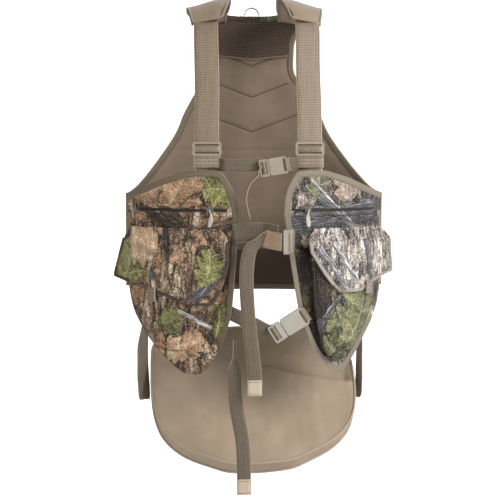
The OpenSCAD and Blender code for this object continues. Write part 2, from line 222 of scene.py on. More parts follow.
def mesh_object(name, verts, faces, cloth=None, material=None, smooth=True):
    mesh = bpy.data.meshes.new(name)
    mesh.from_pydata([tuple(v) for v in verts], [], faces)
    mesh.update()
    obj = bpy.data.objects.new(name, mesh)
    bpy.context.scene.collection.objects.link(obj)
    work = bmesh.new()
    work.from_mesh(mesh)
    bmesh.ops.recalc_face_normals(work, faces=work.faces)
    work.to_mesh(mesh)
    work.free()
    mesh.shade_smooth() if smooth else mesh.shade_flat()
    if cloth is not None:
        layer = mesh.attributes.new("cloth", "FLOAT_VECTOR", "POINT")
        layer.data.foreach_set("vector", np.asarray(cloth, np.float32).ravel())
    if material is not None:
        mesh.materials.append(material)
    return obj


def grid(rows, cols, row_at):
    """Grids of points and of cloth coordinates. row_at(v)(u) gives one of each, v and u 0 to 1."""
    pairs = []
    for v in np.linspace(0, 1, rows):
        point = row_at(v)
        pairs += [point(u) for u in np.linspace(0, 1, cols)]
    return [np.array(part, float).reshape(rows, cols, 3) for part in zip(*pairs)]


def grid_normals(mid):
    """Directions square to a grid of points, on the side where rows cross columns."""
    return unit(np.cross(np.gradient(mid, axis=1), np.gradient(mid, axis=0)))


def pillow(name, mid, thick, cloth, material, out=None):
    """A closed sheet around a grid of mid points. thick is its thickness, at each one or for all."""
    rows, cols = mid.shape[:2]
    out = grid_normals(mid) if out is None else out
    half = out * np.broadcast_to(thick, (rows, cols))[..., None] / 2
    verts = np.concatenate([(mid + half).reshape(-1, 3), (mid - half).reshape(-1, 3)])
    count = rows * cols
    faces = []
    for i in range(rows - 1):
        for j in range(cols - 1):
            a = i * cols + j
            faces.append((a, a + 1, a + cols + 1, a + cols))
            faces.append((a + count, a + cols + count, a + cols + 1 + count, a + 1 + count))
    rim = list(range(cols))
    rim += [i * cols + cols - 1 for i in range(1, rows)]
    rim += [(rows - 1) * cols + j for j in range(cols - 2, -1, -1)]
    rim += [i * cols for i in range(rows - 2, 0, -1)]
    for a, b in zip(rim, rim[1:] + rim[:1]):
        faces.append((a, a + count, b + count, b))
    flat = cloth.reshape(-1, 3)
    return mesh_object(name, verts, faces, np.concatenate([flat, flat]), material)


BACK_SHIFT = 0.02  # Sets the pattern on a strip's back off from the one on its front
# Across and out, in half widths and half thicknesses.
RIBBON_SECTION = [(-1, 0), (-0.965, 1), (-0.5, 1), (0, 1), (0.5, 1), (0.965, 1),
                  (1, 0), (0.965, -1), (0.5, -1), (0, -1), (-0.5, -1), (-0.965, -1)]


def sweep(name, rows, wide, half_w, half_t, material, section=RIBBON_SECTION, closed=False):
    """A solid strip along rows. wide is its width direction, at each row or for all."""
    rows = np.asarray(rows, float)[:, :3]
    wide = unit(np.broadcast_to(np.asarray(wide, float), rows.shape))
    along = tangents(rows, closed)
    out = unit(np.cross(along, wide))
    wide = unit(np.cross(out, along))
    half_w = np.broadcast_to(np.asarray(half_w, float), (len(rows),))
    length = np.concatenate([[0], np.cumsum(np.linalg.norm(np.diff(rows, axis=0), axis=1))])
    verts, cloth = [], []
    for k in range(len(rows)):
        for a, b in section:
            verts.append(rows[k] + wide[k] * a * half_w[k] + out[k] * b * half_t)
            cloth.append((a * half_w[k] + BACK_SHIFT * (b < 0), length[k], a))
    n = len(section)
    faces = []
    for k in range(len(rows) if closed else len(rows) - 1):
        a, b = k * n, (k + 1) % len(rows) * n
        for s in range(n):
            t = (s + 1) % n
            faces.append((a + s, a + t, b + t, b + s))
    if not closed:
        faces.append(tuple(range(n)))
        faces.append(tuple((len(rows) - 1) * n + s for s in reversed(range(n))))
    return mesh_object(name, verts, faces, cloth, material)


def tube_section(count=10):
    return [(math.cos(a), math.sin(a)) for a in np.linspace(0, 2 * math.pi, count, endpoint=False)]


def cord(name, rows, radius, material, closed=False):
    """A round cord along rows."""
    rows = np.asarray(rows, float)
    along = tangents(rows)
    side = np.where(np.abs(along[:, 1:2]) < 0.9, [[0, 1.0, 0]], [[1.0, 0, 0]])
    wide = unit(np.cross(along, side))
    return sweep(name, rows, wide, radius, radius, material, tube_section(), closed)


# One stitch: along it in pitches, and its height in shares of its lift.
STITCH_PROFILE = ((-0.34, 0), (-0.2, 1), (0.2, 1), (0.34, 0))
STITCH_HALF_W = 0.00045
STITCH_ROOT = 0.0006


def resampled(rows, count):
    places, old = np.linspace(0, 1, count), np.linspace(0, 1, len(rows))
    return np.stack([np.interp(places, old, rows[:, k]) for k in range(3)], 1)


def stitches(name, rows, out, material, pitch=0.0042, lift=0.0006):
    """A row of short raised threads along a path that lies on cloth facing out."""
    path = even(np.asarray(rows, float), pitch)
    out = unit(resampled(np.broadcast_to(out, rows.shape), len(path)))
    verts, faces = [], []
    for p, t, n in zip(path, tangents(path), out):
        side = np.cross(t, n) * STITCH_HALF_W
        root = n * STITCH_ROOT
        base = len(verts)
        for a, b in STITCH_PROFILE:
            middle = p + t * a * pitch + n * (lift * b)
            verts += [middle - side, middle + side, middle + side - root, middle - side - root]
        for q in (base, base + 4, base + 8):
            for s in range(4):
                after = (s + 1) % 4
                faces.append((q + s, q + after, q + 4 + after, q + 4 + s))
        faces.append((base, base + 1, base + 2, base + 3))
        faces.append((base + 15, base + 14, base + 13, base + 12))
    return mesh_object(name, verts, faces, None, material)


def moulded(name, width, material):
    """Rounds the edges of a frame node and gives it a material."""
    obj = NODES[name]
    mod = obj.modifiers.new("round_edges", "BEVEL")
    mod.width = width
    mod.segments = 3
    mod.limit_method = "ANGLE"
    mod.angle_limit = math.radians(30)
    obj.data.materials.clear()
    obj.data.materials.append(material)


# ---- Materials -----------------------------------------------------------------------

class Graph:
    """A material under construction. Methods return node sockets."""

    def __init__(self, name):
        self.material = bpy.data.materials.new(name)
        self.material.use_nodes = True
        self.tree = self.material.node_tree
        self.tree.nodes.clear()

    def add(self, kind, inputs=None, **props):
        made = self.tree.nodes.new(kind)
        for key, value in props.items():
            setattr(made, key, value)
        for key, value in (inputs or {}).items():
            self.plug(made.inputs[key], value)
        return made

    def plug(self, socket, value):
        if isinstance(value, bpy.types.NodeSocket):
            self.tree.links.new(value, socket)
        else:
            socket.default_value = value

    def cloth(self):
        return self.add("ShaderNodeAttribute", attribute_name="cloth").outputs["Vector"]

    def place(self):
        return self.add("ShaderNodeTexCoord").outputs["Object"]

    def math(self, operation, a, b=0.0, c=0.0, clamp=False):
        made = self.add("ShaderNodeMath", {0: a, 1: b, 2: c}, operation=operation, use_clamp=clamp)
        return made.outputs[0]

    def times(self, a, b):
        return self.math("MULTIPLY", a, b)

    def plus(self, a, b):
        return self.math("ADD", a, b)

    def minus(self, a, b):
        return self.math("SUBTRACT", a, b)

    def line(self, a, b, c):
        """a * b + c"""
        return self.math("MULTIPLY_ADD", a, b, c)

    def absolute(self, a):
        return self.math("ABSOLUTE", a)

    def vector(self, operation, a, b=(0, 0, 0)):
        return self.add("ShaderNodeVectorMath", {0: a, 1: b}, operation=operation).outputs[0]

    def scaled(self, vector, x, y, z=1.0, shift=(0, 0, 0)):
        return self.vector("ADD", self.vector("MULTIPLY", vector, (x, y, z)), shift)

    def turned(self, vector, angle):
        inputs = {"Vector": vector, "Angle": angle}
        return self.add("ShaderNodeVectorRotate", inputs, rotation_type="Z_AXIS").outputs[0]

    def parts(self, vector):
        return self.add("ShaderNodeSeparateXYZ", {0: vector}).outputs

    def noise(self, vector, scale, detail=3.0, rough=0.5, distort=0.0):
        inputs = {"Vector": vector, "Scale": scale, "Detail": detail, "Roughness": rough,
                  "Distortion": distort}
        return self.add("ShaderNodeTexNoise", inputs).outputs[0]

    def ramp(self, fac, stops):
        made = self.add("ShaderNodeValToRGB", {0: fac})
        band = made.color_ramp
        while len(band.elements) < len(stops):
            band.elements.new(0.5)
        for element, (at, colour) in zip(band.elements, stops):
            element.position = at
            element.color = (*colour, 1)
        return made.outputs[0]

    def mix(self, fac, a, b):
        made = self.add("ShaderNodeMix", data_type="RGBA")
        self.plug(made.inputs[0], fac)
        for socket, value in ((made.inputs[6], a), (made.inputs[7], b)):
            self.plug(socket, (*value, 1) if isinstance(value, tuple) else value)
        return made.outputs[2]

    def step(self, value, low, high):
        inputs = {"Value": value, "From Min": low, "From Max": high}
        made = self.add("ShaderNodeMapRange", inputs, interpolation_type="SMOOTHSTEP", clamp=True)
        return made.outputs[0]

    def spread(self, value, low, high):
        inputs = {"Value": value, "From Min": low, "From Max": high}
        return self.add("ShaderNodeMapRange", inputs, clamp=True).outputs[0]

    def tuned(self, colour, saturation, gain):
        inputs = {"Saturation": saturation, "Value": gain, "Color": colour}
        return self.add("ShaderNodeHueSaturation", inputs).outputs[0]

    def bump(self, height, strength, distance, normal=None):
        inputs = {"Height": height, "Strength": strength, "Distance": distance}
        made = self.add("ShaderNodeBump", inputs)
        if normal is not None:
            self.plug(made.inputs["Normal"], normal)
        return made.outputs[0]

    def finish(self, colour, rough, normal=None, sheen=0.0, metallic=0.0, specular=0.5):
        inputs = {"Base Color": colour if not isinstance(colour, tuple) else (*colour, 1),
                  "Roughness": rough, "Sheen Weight": sheen, "Metallic": metallic,
                  "Specular IOR Level": specular}
        shader = self.add("ShaderNodeBsdfPrincipled", inputs)
        if normal is not None:
            self.plug(shader.inputs["Normal"], normal)
        self.add("ShaderNodeOutputMaterial", {0: shader.outputs[0]})
        return self.material


def weave_height(g, uv, across, along):
    """Over-and-under threads, across and along threads to the metre."""
    x, y, _ = g.parts(uv)
    a = g.math("SINE", g.times(x, across * math.pi))
    b = g.math("SINE", g.times(y, along * math.pi))
    return g.times(a, b)


def cloth_material(name, dark, light, threads=1400, sheen=0.05, rough=0.72):
    g = Graph(name)
    uv = g.cloth()
    broad = g.spread(g.noise(uv, 14, 5, 0.65), 0.3, 0.7)
    fine = g.spread(g.noise(uv, 620, 3, 0.7), 0.3, 0.7)
    colour = g.mix(broad, dark, light)
    colour = g.mix(g.times(fine, 0.40), colour, tuple(0.45 * c for c in dark))
    height = weave_height(g, uv, threads, threads)
    normal = g.bump(height, 0.3, 0.0003)
    normal = g.bump(g.noise(uv, 60, 3, 0.6), 0.25, 0.003, normal)
    return g.finish(colour, g.line(broad, 0.15, rough - 0.08), normal, sheen)


LOW_SEAM = -0.514
UNDER_MESH = (-0.135, -0.09)  # Heights between which the painted shade under the mesh panel fades in


def lining_material(name, dark, light, dark_panel_and_shade):
    """The back's inner cloth. Under its lowest seam it is darker, partly its own darker panel and partly
    painted shade; painted shade also fades in above that seam and under the mesh panel.
    """
    g = Graph(name)
    uv = g.cloth()
    z = g.parts(uv)[1]
    broad = g.spread(g.noise(uv, 10, 5, 0.65), 0.3, 0.7)
    fine = g.spread(g.noise(uv, 620, 3, 0.7), 0.3, 0.7)
    colour = g.mix(broad, dark, light)
    colour = g.mix(g.times(fine, 0.28), colour, tuple(0.5 * c for c in dark))
    # Partly the darker lower panel and partly painted shade, with painted shade fading in above the seam
    shade = g.math("MAXIMUM", g.step(z, LOW_SEAM + 0.001, LOW_SEAM - 0.001),
                   g.times(g.step(z, LOW_SEAM + 0.075, LOW_SEAM), 0.35))
    colour = g.mix(g.times(shade, 0.9), colour, dark_panel_and_shade)
    # Painted shade under the mesh panel
    upper = g.step(z, *UNDER_MESH)
    colour = g.mix(g.times(upper, 0.30), colour, dark_panel_and_shade)
    normal = g.bump(weave_height(g, uv, 1400, 1400), 0.3, 0.0003)
    normal = g.bump(g.noise(uv, 60, 3, 0.6), 0.25, 0.003, normal)
    return g.finish(colour, g.line(broad, 0.15, 0.62), normal, 0.05)


def webbing_material(name, dark, light, rib=0.0050, yarn=0.0030, edge=1.35):
    """Nylon webbing: crosswise ribs, lengthwise yarn lines and a paler selvedge."""
    g = Graph(name)
    uv = g.cloth()
    x, y, across = g.parts(uv)
    zigzag = g.times(g.math("PINGPONG", x, 0.0055), 0.35)
    ribs = g.math("SINE", g.times(g.plus(y, zigzag), 2 * math.pi / rib))
    lines = g.math("SINE", g.times(x, 2 * math.pi / yarn))
    height = g.plus(g.times(ribs, 0.6), g.times(lines, 0.4))
    broad = g.spread(g.noise(g.scaled(uv, 1, 0.3), 36, 4, 0.65), 0.34, 0.66)
    streak = g.spread(g.noise(g.scaled(uv, 1, 0.10), 300, 2, 0.6), 0.3, 0.7)
    colour = g.mix(broad, dark, light)
    colour = g.mix(g.times(streak, 0.35), colour, tuple(0.55 * c for c in dark))
    # Painted shade in the grooves between the ribs
    colour = g.mix(g.times(g.step(height, 0.5, -0.6), 0.62), colour,
                   tuple(0.42 * c for c in dark))
    rim = g.step(g.absolute(across), 0.90, 0.955)
    colour = g.mix(g.times(rim, 0.8), colour, tuple(min(0.9, edge * c) for c in light))
    normal = g.bump(height, 0.7, 0.0006)
    return g.finish(colour, 0.66, normal, 0.05)


def plastic_material(name, colour, rough=0.42):
    g = Graph(name)
    where = g.place()
    broad = g.noise(where, 30, 4, 0.6)
    grain = g.noise(where, 1800, 2, 0.5)
    tint = g.mix(broad, tuple(0.86 * c for c in colour), tuple(min(1, 1.08 * c) for c in colour))
    normal = g.bump(grain, 0.12, 0.0002)
    return g.finish(tint, g.line(broad, 0.2, rough - 0.1), normal)


def metal_material(name, colour, rough=0.35, metallic=0.7):
    g = Graph(name)
    where = g.place()
    wear = g.noise(where, 260, 5, 0.7)
    tint = g.mix(g.step(wear, 0.45, 0.7), colour, tuple(min(1, 1.7 * c) for c in colour))
    return g.finish(tint, g.line(wear, 0.25, rough - 0.1), None, 0, metallic)


MESH_RIDGE = 0.0046


def mesh_material(name):
    """Dark spacer mesh with wavy raised ridges and rows of small holes."""
    g = Graph(name)
    uv = g.cloth()
    x, y, _ = g.parts(uv)
    wave = g.times(g.math("SINE", g.times(x, 2 * math.pi / 0.012)), 0.0012)
    rows = g.math("SINE", g.times(g.plus(y, wave), 2 * math.pi / MESH_RIDGE))
    holes = weave_height(g, uv, 620, 620)
    height = g.plus(rows, g.times(holes, 0.4))
    # Colour follows the height: partly the mesh's own dark holes, partly painted shade deepening into the
    # grooves and holes, so the ridge tops read lighter
    colour = g.ramp(g.step(height, -1.0, 1.2), [(0.0, (0.014, 0.008, 0.004)),
                                                (0.6, (0.075, 0.045, 0.026)),
                                                (1.0, (0.15, 0.10, 0.065))])
    return g.finish(colour, 0.8, g.bump(height, 0.9, 0.0012), 0.1)


BARK = [(0.0, (0.010, 0.006, 0.004)), (0.22, (0.060, 0.036, 0.023)), (0.45, (0.20, 0.130, 0.085)),
        (0.66, (0.38, 0.275, 0.195)), (0.85, (0.62, 0.51, 0.39)), (1.0, (0.85, 0.77, 0.65))]
BROWN_LEAF = [(0.05, (0.075, 0.038, 0.020)), (0.30, (0.20, 0.110, 0.060)), (0.55, (0.37, 0.225, 0.135)),
              (0.80, (0.58, 0.40, 0.26)), (1.0, (0.82, 0.67, 0.50))]
GREEN_LEAF = [(0.05, (0.035, 0.034, 0.013)), (0.30, (0.10, 0.098, 0.035)), (0.58, (0.23, 0.225, 0.085)),
              (0.82, (0.42, 0.405, 0.19)), (1.0, (0.74, 0.70, 0.47))]
LOG = [(0.0, (0.008, 0.007, 0.008)), (0.40, (0.038, 0.036, 0.042)), (0.68, (0.115, 0.110, 0.120)),
       (0.88, (0.32, 0.30, 0.30)), (1.0, (0.70, 0.66, 0.63))]
BROWN_LOG = [(0.0, (0.006, 0.004, 0.003)), (0.45, (0.030, 0.020, 0.015)), (0.75, (0.085, 0.058, 0.044)),
             (1.0, (0.27, 0.20, 0.15))]
LEAF_LOBES = 3.5
INK = (0.012, 0.008, 0.006)


class Camo(Graph):
    """A printed woodland pattern: bark, with logs and lobed leaves laid over it one by one."""

    def __init__(self, name, shift, pale):
        super().__init__(name)
        self.uv = self.cloth()
        self.moved = self.vector("ADD", self.uv, shift)
        self.fine = self.spread(self.noise(self.moved, 150, 5, 0.72), 0.36, 0.64)
        self.folds = self.spread(self.noise(self.moved, 42, 4, 0.7), 0.34, 0.66)
        self.warp = self.minus(self.noise(self.moved, 22, 3, 0.55), 0.5)
        self.rough = self.minus(self.noise(self.moved, 130, 3, 0.7), 0.5)
        self.ink = self.bark(pale)

    def bark(self, pale):
        plates = self.spread(self.noise(self.scaled(self.moved, 1, 0.28), 62, 5, 0.7, 0.8), 0.40, 0.61)
        drift = self.spread(self.noise(self.moved, 14, 3, 0.55), 0.36, 0.64)
        tone = self.line(self.fine, 0.34, self.line(plates, 0.60, -0.24))
        tone = self.plus(tone, self.line(drift, 0.34, pale))
        bark = self.ramp(tone, BARK)
        crooked = self.noise(self.scaled(self.moved, 1, 0.22), 48, 5, 0.7, 1.0)
        crack = self.step(self.absolute(self.minus(crooked, 0.5)), 0.024, 0.008)
        bark = self.mix(self.times(crack, 0.80), bark, INK)
        hollow = self.noise(self.scaled(self.moved, 1, 0.5), 24, 5, 0.65, 0.8)
        return self.mix(self.times(self.step(hollow, 0.43, 0.39), 0.9), bark, INK)

    def lay(self, inside, halo, shape):
        """Prints shape where inside is above zero, with a dark shadow reaching halo around it."""
        shadow = self.times(self.step(inside, -halo, halo * 0.2), 0.85)
        self.ink = self.mix(self.step(inside, 0.0, halo * 0.2), self.mix(shadow, self.ink, INK), shape)

    def leaf(self, a, b, tone, colours, slim, chosen=1.0):
        """One lobed leaf. a runs along it and b across it, both in leaf lengths from its middle."""
        a = self.line(self.warp, 0.30, a)
        b = self.minus(b, self.times(self.times(a, a), 0.5))
        off = self.absolute(b)
        reach = self.math("DIVIDE", a, 0.48)
        body = self.math("SQRT", self.math("SUBTRACT", 1.0, self.times(reach, reach), clamp=True))
        swing = self.times(self.line(off, -0.45, a), math.pi * LEAF_LOBES)
        lobes = self.line(self.absolute(self.math("COSINE", swing)), 0.44, 0.56)
        width = self.times(self.times(body, lobes), slim)
        inside = self.line(self.rough, 0.03, self.minus(width, off))
        if not isinstance(chosen, float):
            inside = self.minus(inside, self.minus(1.0, chosen))
        ribs = self.math("PINGPONG", self.line(off, -0.45, a), 0.5 / LEAF_LOBES)
        veins = self.math("MAXIMUM", self.step(off, 0.012, 0.003), self.step(ribs, 0.010, 0.002))
        shade = self.line(self.folds, 0.55, tone)
        colour = self.ramp(self.line(self.fine, 0.26, shade), colours)
        colour = self.mix(self.times(self.step(inside, 0.030, 0.0), 0.45), colour, INK)
        colour = self.mix(self.times(self.step(b, 0.03, -0.03), 0.30), colour, INK)
        self.lay(inside, 0.06, self.mix(self.times(veins, 0.45), colour, colours[-1][1]))

    def leaves(self, cell, seed, keep, colours, slim):
        """Scatters leaves cell metres apart and keeps the given share of them."""
        where = self.scaled(self.moved, 1 / cell, 1 / cell, 0.0, (seed * 3.7, seed * 1.9, 0))
        cells = self.add("ShaderNodeTexVoronoi", {"Vector": where, "Scale": 1.0, "Randomness": 0.6},
                         voronoi_dimensions="2D", feature="F1")
        pick = self.parts(cells.outputs["Color"])
        local = self.vector("SUBTRACT", where, cells.outputs["Position"])
        a, b, _ = self.parts(self.turned(local, self.times(pick[0], 2 * math.pi)))
        tone = self.times(pick[1], 0.2)
        self.leaf(a, b, tone, colours, slim, self.math("LESS_THAN", pick[2], keep))

    def one_leaf(self, x, z, degrees, length, colours, slim=0.36, tone=0.12):
        """Lays a leaf of the given length with its middle at (x, z) on the cloth."""
        local = self.turned(self.vector("SUBTRACT", self.uv, (x, z, 0)), -math.radians(degrees))
        a, b, _ = self.parts(self.scaled(local, 1 / length, 1 / length))
        self.leaf(a, b, tone, colours, slim)

    def log(self, x0, z0, x1, z1, thick, colours, tone=0.0):
        """Lays a log or a twig from (x0, z0) to (x1, z1) on the cloth."""
        length = math.hypot(x1 - x0, z1 - z0)
        local = self.turned(self.vector("SUBTRACT", self.uv, (x0, z0, 0)), -math.atan2(z1 - z0, x1 - x0))
        along, across, _ = self.parts(local)
        across = self.line(self.warp, 0.9 * thick + 0.006, across)
        side = self.minus(0.5, self.math("DIVIDE", self.absolute(across), thick))
        ends = self.math("MINIMUM", along, self.minus(length, along))
        inside = self.math("MINIMUM", side, self.math("DIVIDE", ends, thick))
        inside = self.line(self.rough, 0.35, inside)
        fibre = self.noise(self.scaled(local, 0.08, 1), 330, 5, 0.75)
        fibre = self.line(self.spread(fibre, 0.34, 0.66), 0.80, tone)
        lit = self.spread(across, -0.5 * thick, 0.5 * thick)
        self.lay(inside, 0.22, self.ramp(self.line(lit, 0.30, fibre), colours))


def camo_material(name, shift, saturation=1.0, gain=1.0, pale=0.0, wild=(0.3, 0.3), prints=()):
    """A Camo on a matt weave. wild is the shares of scattered brown and green leaves."""
    g = Camo(name, shift, pale)
    g.leaves(0.046, 9.0, 0.42, BROWN_LEAF, 0.30)
    g.leaves(0.120, 2.0, wild[0], BROWN_LEAF, 0.36)
    g.leaves(0.105, 5.0, wild[1], GREEN_LEAF, 0.36)
    for kind, *spec in prints:
        (g.one_leaf if kind == "leaf" else g.log)(*spec)
    speck = g.spread(g.noise(g.moved, 300, 4, 0.75), 0.36, 0.64)
    ink = g.mix(g.times(g.step(speck, 0.46, 0.12), 0.50), g.ink, INK)
    ink = g.mix(g.times(g.step(speck, 0.62, 0.94), 0.16), ink, (0.84, 0.76, 0.64))
    ink = g.tuned(ink, saturation, gain)
    normal = g.bump(weave_height(g, g.moved, 1500, 1500), 0.25, 0.0003)
    normal = g.bump(g.noise(g.moved, 48, 4, 0.6), 0.45, 0.005, normal)
    return g.finish(ink, 0.82, normal, 0.04, 0, 0.3)


PRINT_LEFT = [("log", -0.250, -0.405, -0.095, -0.488, 0.034, BROWN_LOG),
              ("log", -0.130, -0.474, -0.020, -0.432, 0.024, BROWN_LOG, 0.05),
              ("leaf", -0.224, -0.380, 24, 0.092, BROWN_LEAF, 0.52, 0.30),
              ("leaf", -0.158, -0.372, 62, 0.110, BROWN_LEAF, 0.52, 0.20),
              ("leaf", -0.070, -0.377, 172, 0.080, GREEN_LEAF, 0.52, 0.10)]
PRINT_FLAP_LEFT = [("log", -0.150, -0.610, -0.040, -0.500, 0.022, LOG),
                   ("leaf", -0.098, -0.528, 78, 0.080, GREEN_LEAF, 0.40, 0.04),
                   ("leaf", -0.310, -0.540, 64, 0.125, GREEN_LEAF, 0.56, 0.12),
                   ("leaf", -0.262, -0.484, -22, 0.096, BROWN_LEAF, 0.54, 0.34)]
PRINT_POCKET_LEFT = [("log", -0.150, -0.600, -0.050, -0.520, 0.024, LOG),
                     ("leaf", -0.182, -0.634, 20, 0.062, GREEN_LEAF, 0.52, 0.04),
                     ("leaf", -0.170, -0.690, -30, 0.062, BROWN_LEAF, 0.50, 0.34),
                     ("leaf", -0.132, -0.676, 40, 0.056, BROWN_LEAF, 0.50, 0.26),
                     ("log", -0.166, -0.612, -0.094, -0.645, 0.008, LOG, 0.30)]
PRINT_GUSSET = [("leaf", -0.080, -0.640, 80, 0.130, GREEN_LEAF, 0.26, 0.02),
                ("leaf", -0.070, -0.560, 95, 0.070, GREEN_LEAF, 0.30, 0.06)]
PRINT_RIGHT = [("leaf", 0.190, -0.372, 100, 0.080, BROWN_LEAF, 0.46, 0.06),
               ("leaf", 0.120, -0.368, 75, 0.070, GREEN_LEAF, 0.40, 0.0),
               ("log", 0.050, -0.446, 0.290, -0.418, 0.050, LOG, -0.05),
               ("log", 0.120, -0.392, 0.245, -0.476, 0.022, LOG, 0.05),
               ("log", 0.104, -0.358, 0.160, -0.410, 0.006, LOG, 0.25)]
PRINT_FLAP_RIGHT = [("log", 0.118, -0.490, 0.190, -0.575, 0.013, LOG, 0.10),
                    ("log", 0.150, -0.480, 0.215, -0.560, 0.009, LOG, 0.20),
                    ("log", 0.238, -0.478, 0.262, -0.565, 0.017, LOG, 0.0),
                    ("log", 0.250, -0.580, 0.350, -0.560, 0.020, LOG, -0.1)]
# The two dark brown logs along the pocket's inner edge are partly print and partly painted shade of the
# pocket's side.
PRINT_POCKET_RIGHT = [("log", 0.092, -0.500, 0.112, -0.660, 0.018, BROWN_LOG, 0.25),
                      ("log", 0.130, -0.520, 0.118, -0.700, 0.034, BROWN_LOG, -0.15),
                      ("log", 0.112, -0.655, 0.185, -0.575, 0.020, LOG, 0.05),
                      ("leaf", 0.150, -0.695, 50, 0.080, GREEN_LEAF, 0.50, 0.0),
                      ("leaf", 0.176, -0.650, 140, 0.090, GREEN_LEAF, 0.44, 0.04),
                      ("leaf", 0.224, -0.618, 70, 0.150, GREEN_LEAF, 0.46, 0.14)]

# The last colour is the lower panel's darker cloth and the painted shade.
LINING = lining_material("tan_lining", (0.150, 0.106, 0.070), (0.225, 0.166, 0.116), (0.042, 0.019, 0.007))
SEAT_CLOTH = cloth_material("seat_cloth", (0.325, 0.248, 0.170), (0.42, 0.33, 0.235), 1100, 0.03, 0.8)
SEAT_EDGE = cloth_material("seat_edge_cloth", (0.35, 0.275, 0.195), (0.45, 0.365, 0.27), 900)
HANGER_CLOTH = cloth_material("hanger_cloth", (0.20, 0.168, 0.120), (0.285, 0.24, 0.175), 900)
PAD_CLOTH = cloth_material("pad_cloth", (0.25, 0.185, 0.125), (0.36, 0.275, 0.195))
WEB = webbing_material("tan_webbing", (0.175, 0.128, 0.082), (0.33, 0.25, 0.170))
# A paler copy of the tan webbing, for the right shoulder strap: painted light of the key lamp on that side.
WEB_PAINTED_LIGHT = webbing_material("painted_light_webbing", (0.225, 0.170, 0.118), (0.43, 0.345, 0.25))
WEB_CROSS = webbing_material("tan_webbing_cross", (0.19, 0.145, 0.098), (0.36, 0.285, 0.20), 0.0066)
WEB_OLIVE = webbing_material("olive_webbing", (0.098, 0.073, 0.046), (0.200, 0.156, 0.104), 0.0044, 0.0046)
TAPE = webbing_material("binding_tape", (0.165, 0.121, 0.078), (0.26, 0.20, 0.135), 0.0026, 0.003, 1.2)
# A paler, greyer copy of the binding tape, for the right panel: painted light of the key lamp on that side.
TAPE_PAINTED_LIGHT = webbing_material("painted_light_binding_tape", (0.21, 0.17, 0.125), (0.35, 0.295, 0.225), 0.0026, 0.003,
                             1.25)
TIP = cloth_material("web_tip", (0.44, 0.35, 0.25), (0.60, 0.49, 0.37), 900)
PATCH = cloth_material("web_patch", (0.36, 0.25, 0.165), (0.47, 0.34, 0.235), 900)
CAMO_LEFT = camo_material("camo_left", (0.31, 0.17, 0.0), 1.08, 1.05, 0.02, (0.0, 0.0), PRINT_LEFT)
CAMO_FLAP_LEFT = camo_material("camo_flap_left", (1.13, 0.52, 0.0), 1.05, 1.12, 0.05, (0.0, 0.0),
                               PRINT_FLAP_LEFT)
CAMO_POCKET_LEFT = camo_material("camo_pocket_left", (2.41, 0.83, 0.0), 1.08, 0.95, 0.0, (0.2, 0.1),
                                 PRINT_POCKET_LEFT)
CAMO_GUSSET = camo_material("camo_gusset", (2.9, 1.4, 0.0), 1.1, 0.9, -0.10, (0.1, 0.3), PRINT_GUSSET)
# The right panel's and right flap's copies are greyer, the flap's paler too: partly their print, partly
# painted light of the strong key lamp on the right.
CAMO_RIGHT = camo_material("camo_right", (3.27, 1.31, 0.0), 0.60, 1.02, 0.02, (0.1, 0.0), PRINT_RIGHT)
CAMO_FLAP_RIGHT = camo_material("camo_flap_right", (4.65, 2.12, 0.0), 0.45, 1.36, 0.10, (0.0, 0.0),
                                PRINT_FLAP_RIGHT)
CAMO_POCKET_RIGHT = camo_material("camo_pocket_right", (5.19, 2.77, 0.0), 0.85, 0.72, -0.08, (0.1, 0.1),
                                  PRINT_POCKET_RIGHT)
# A darkened camo copy for the right pocket's gusset: painted shade.
CAMO_PAINTED_SHADE = camo_material("camo_painted_shade", (5.7, 3.1, 0.0), 1.1, 0.30, -0.10)
CAMO_SIDE = camo_material("camo_side", (6.1, 4.4, 0.0), 1.0, 0.9)
CAMO_BACK = camo_material("camo_back", (6.4, 3.2, 0.0), 1.0, 1.0, 0.02, (0.5, 0.5))
CAMO_COLLAR = camo_material("camo_collar", (7.1, 2.2, 0.0), 0.9, 0.45, -0.06, (0.2, 0.5))
CAMO_BAG = camo_material("camo_bag", (8.3, 1.7, 0.0), 1.0, 1.0, 0.02, (0.5, 0.5))
# The left flap's rim is a darkened camo copy: painted shade along the flap's edge. The right flap's rim is
# paler and greyer, partly painted light as on the right flap's cloth.
RIM_PAINTED_SHADE = camo_material("camo_rim_painted_shade", (9.7, 0.6, 0.0), 1.0, 0.55, -0.05, (0.0, 0.0))
RIM_PALE = camo_material("camo_rim_pale", (9.1, 4.1, 0.0), 0.5, 1.10, 0.25, (0.0, 0.0))
MESH = mesh_material("spacer_mesh")
PLASTIC = plastic_material("buckle_plastic", (0.27, 0.235, 0.185))
PLASTIC_PALE = plastic_material("pale_buckle_plastic", (0.33, 0.31, 0.265))
METAL = metal_material("snap_metal", (0.13, 0.13, 0.12))
TEETH = metal_material("zip_teeth", (0.035, 0.025, 0.02), 0.4, 0.2)
ZIP_TAPE = cloth_material("zip_tape", (0.02, 0.014, 0.01), (0.035, 0.025, 0.018))
CORD = webbing_material("pull_cord", (0.62, 0.55, 0.44), (0.80, 0.73, 0.61), 0.0016, 0.0016, 1.1)
THREAD = cloth_material("thread", (0.13, 0.10, 0.07), (0.19, 0.15, 0.105))
# Thread of the back's quilting lines, darker than the thread alone: partly painted shade of the grooves.
DARK_THREAD_AND_SHADE = cloth_material("dark_thread_and_painted_shade", (0.045, 0.032, 0.023), (0.065, 0.048, 0.035))

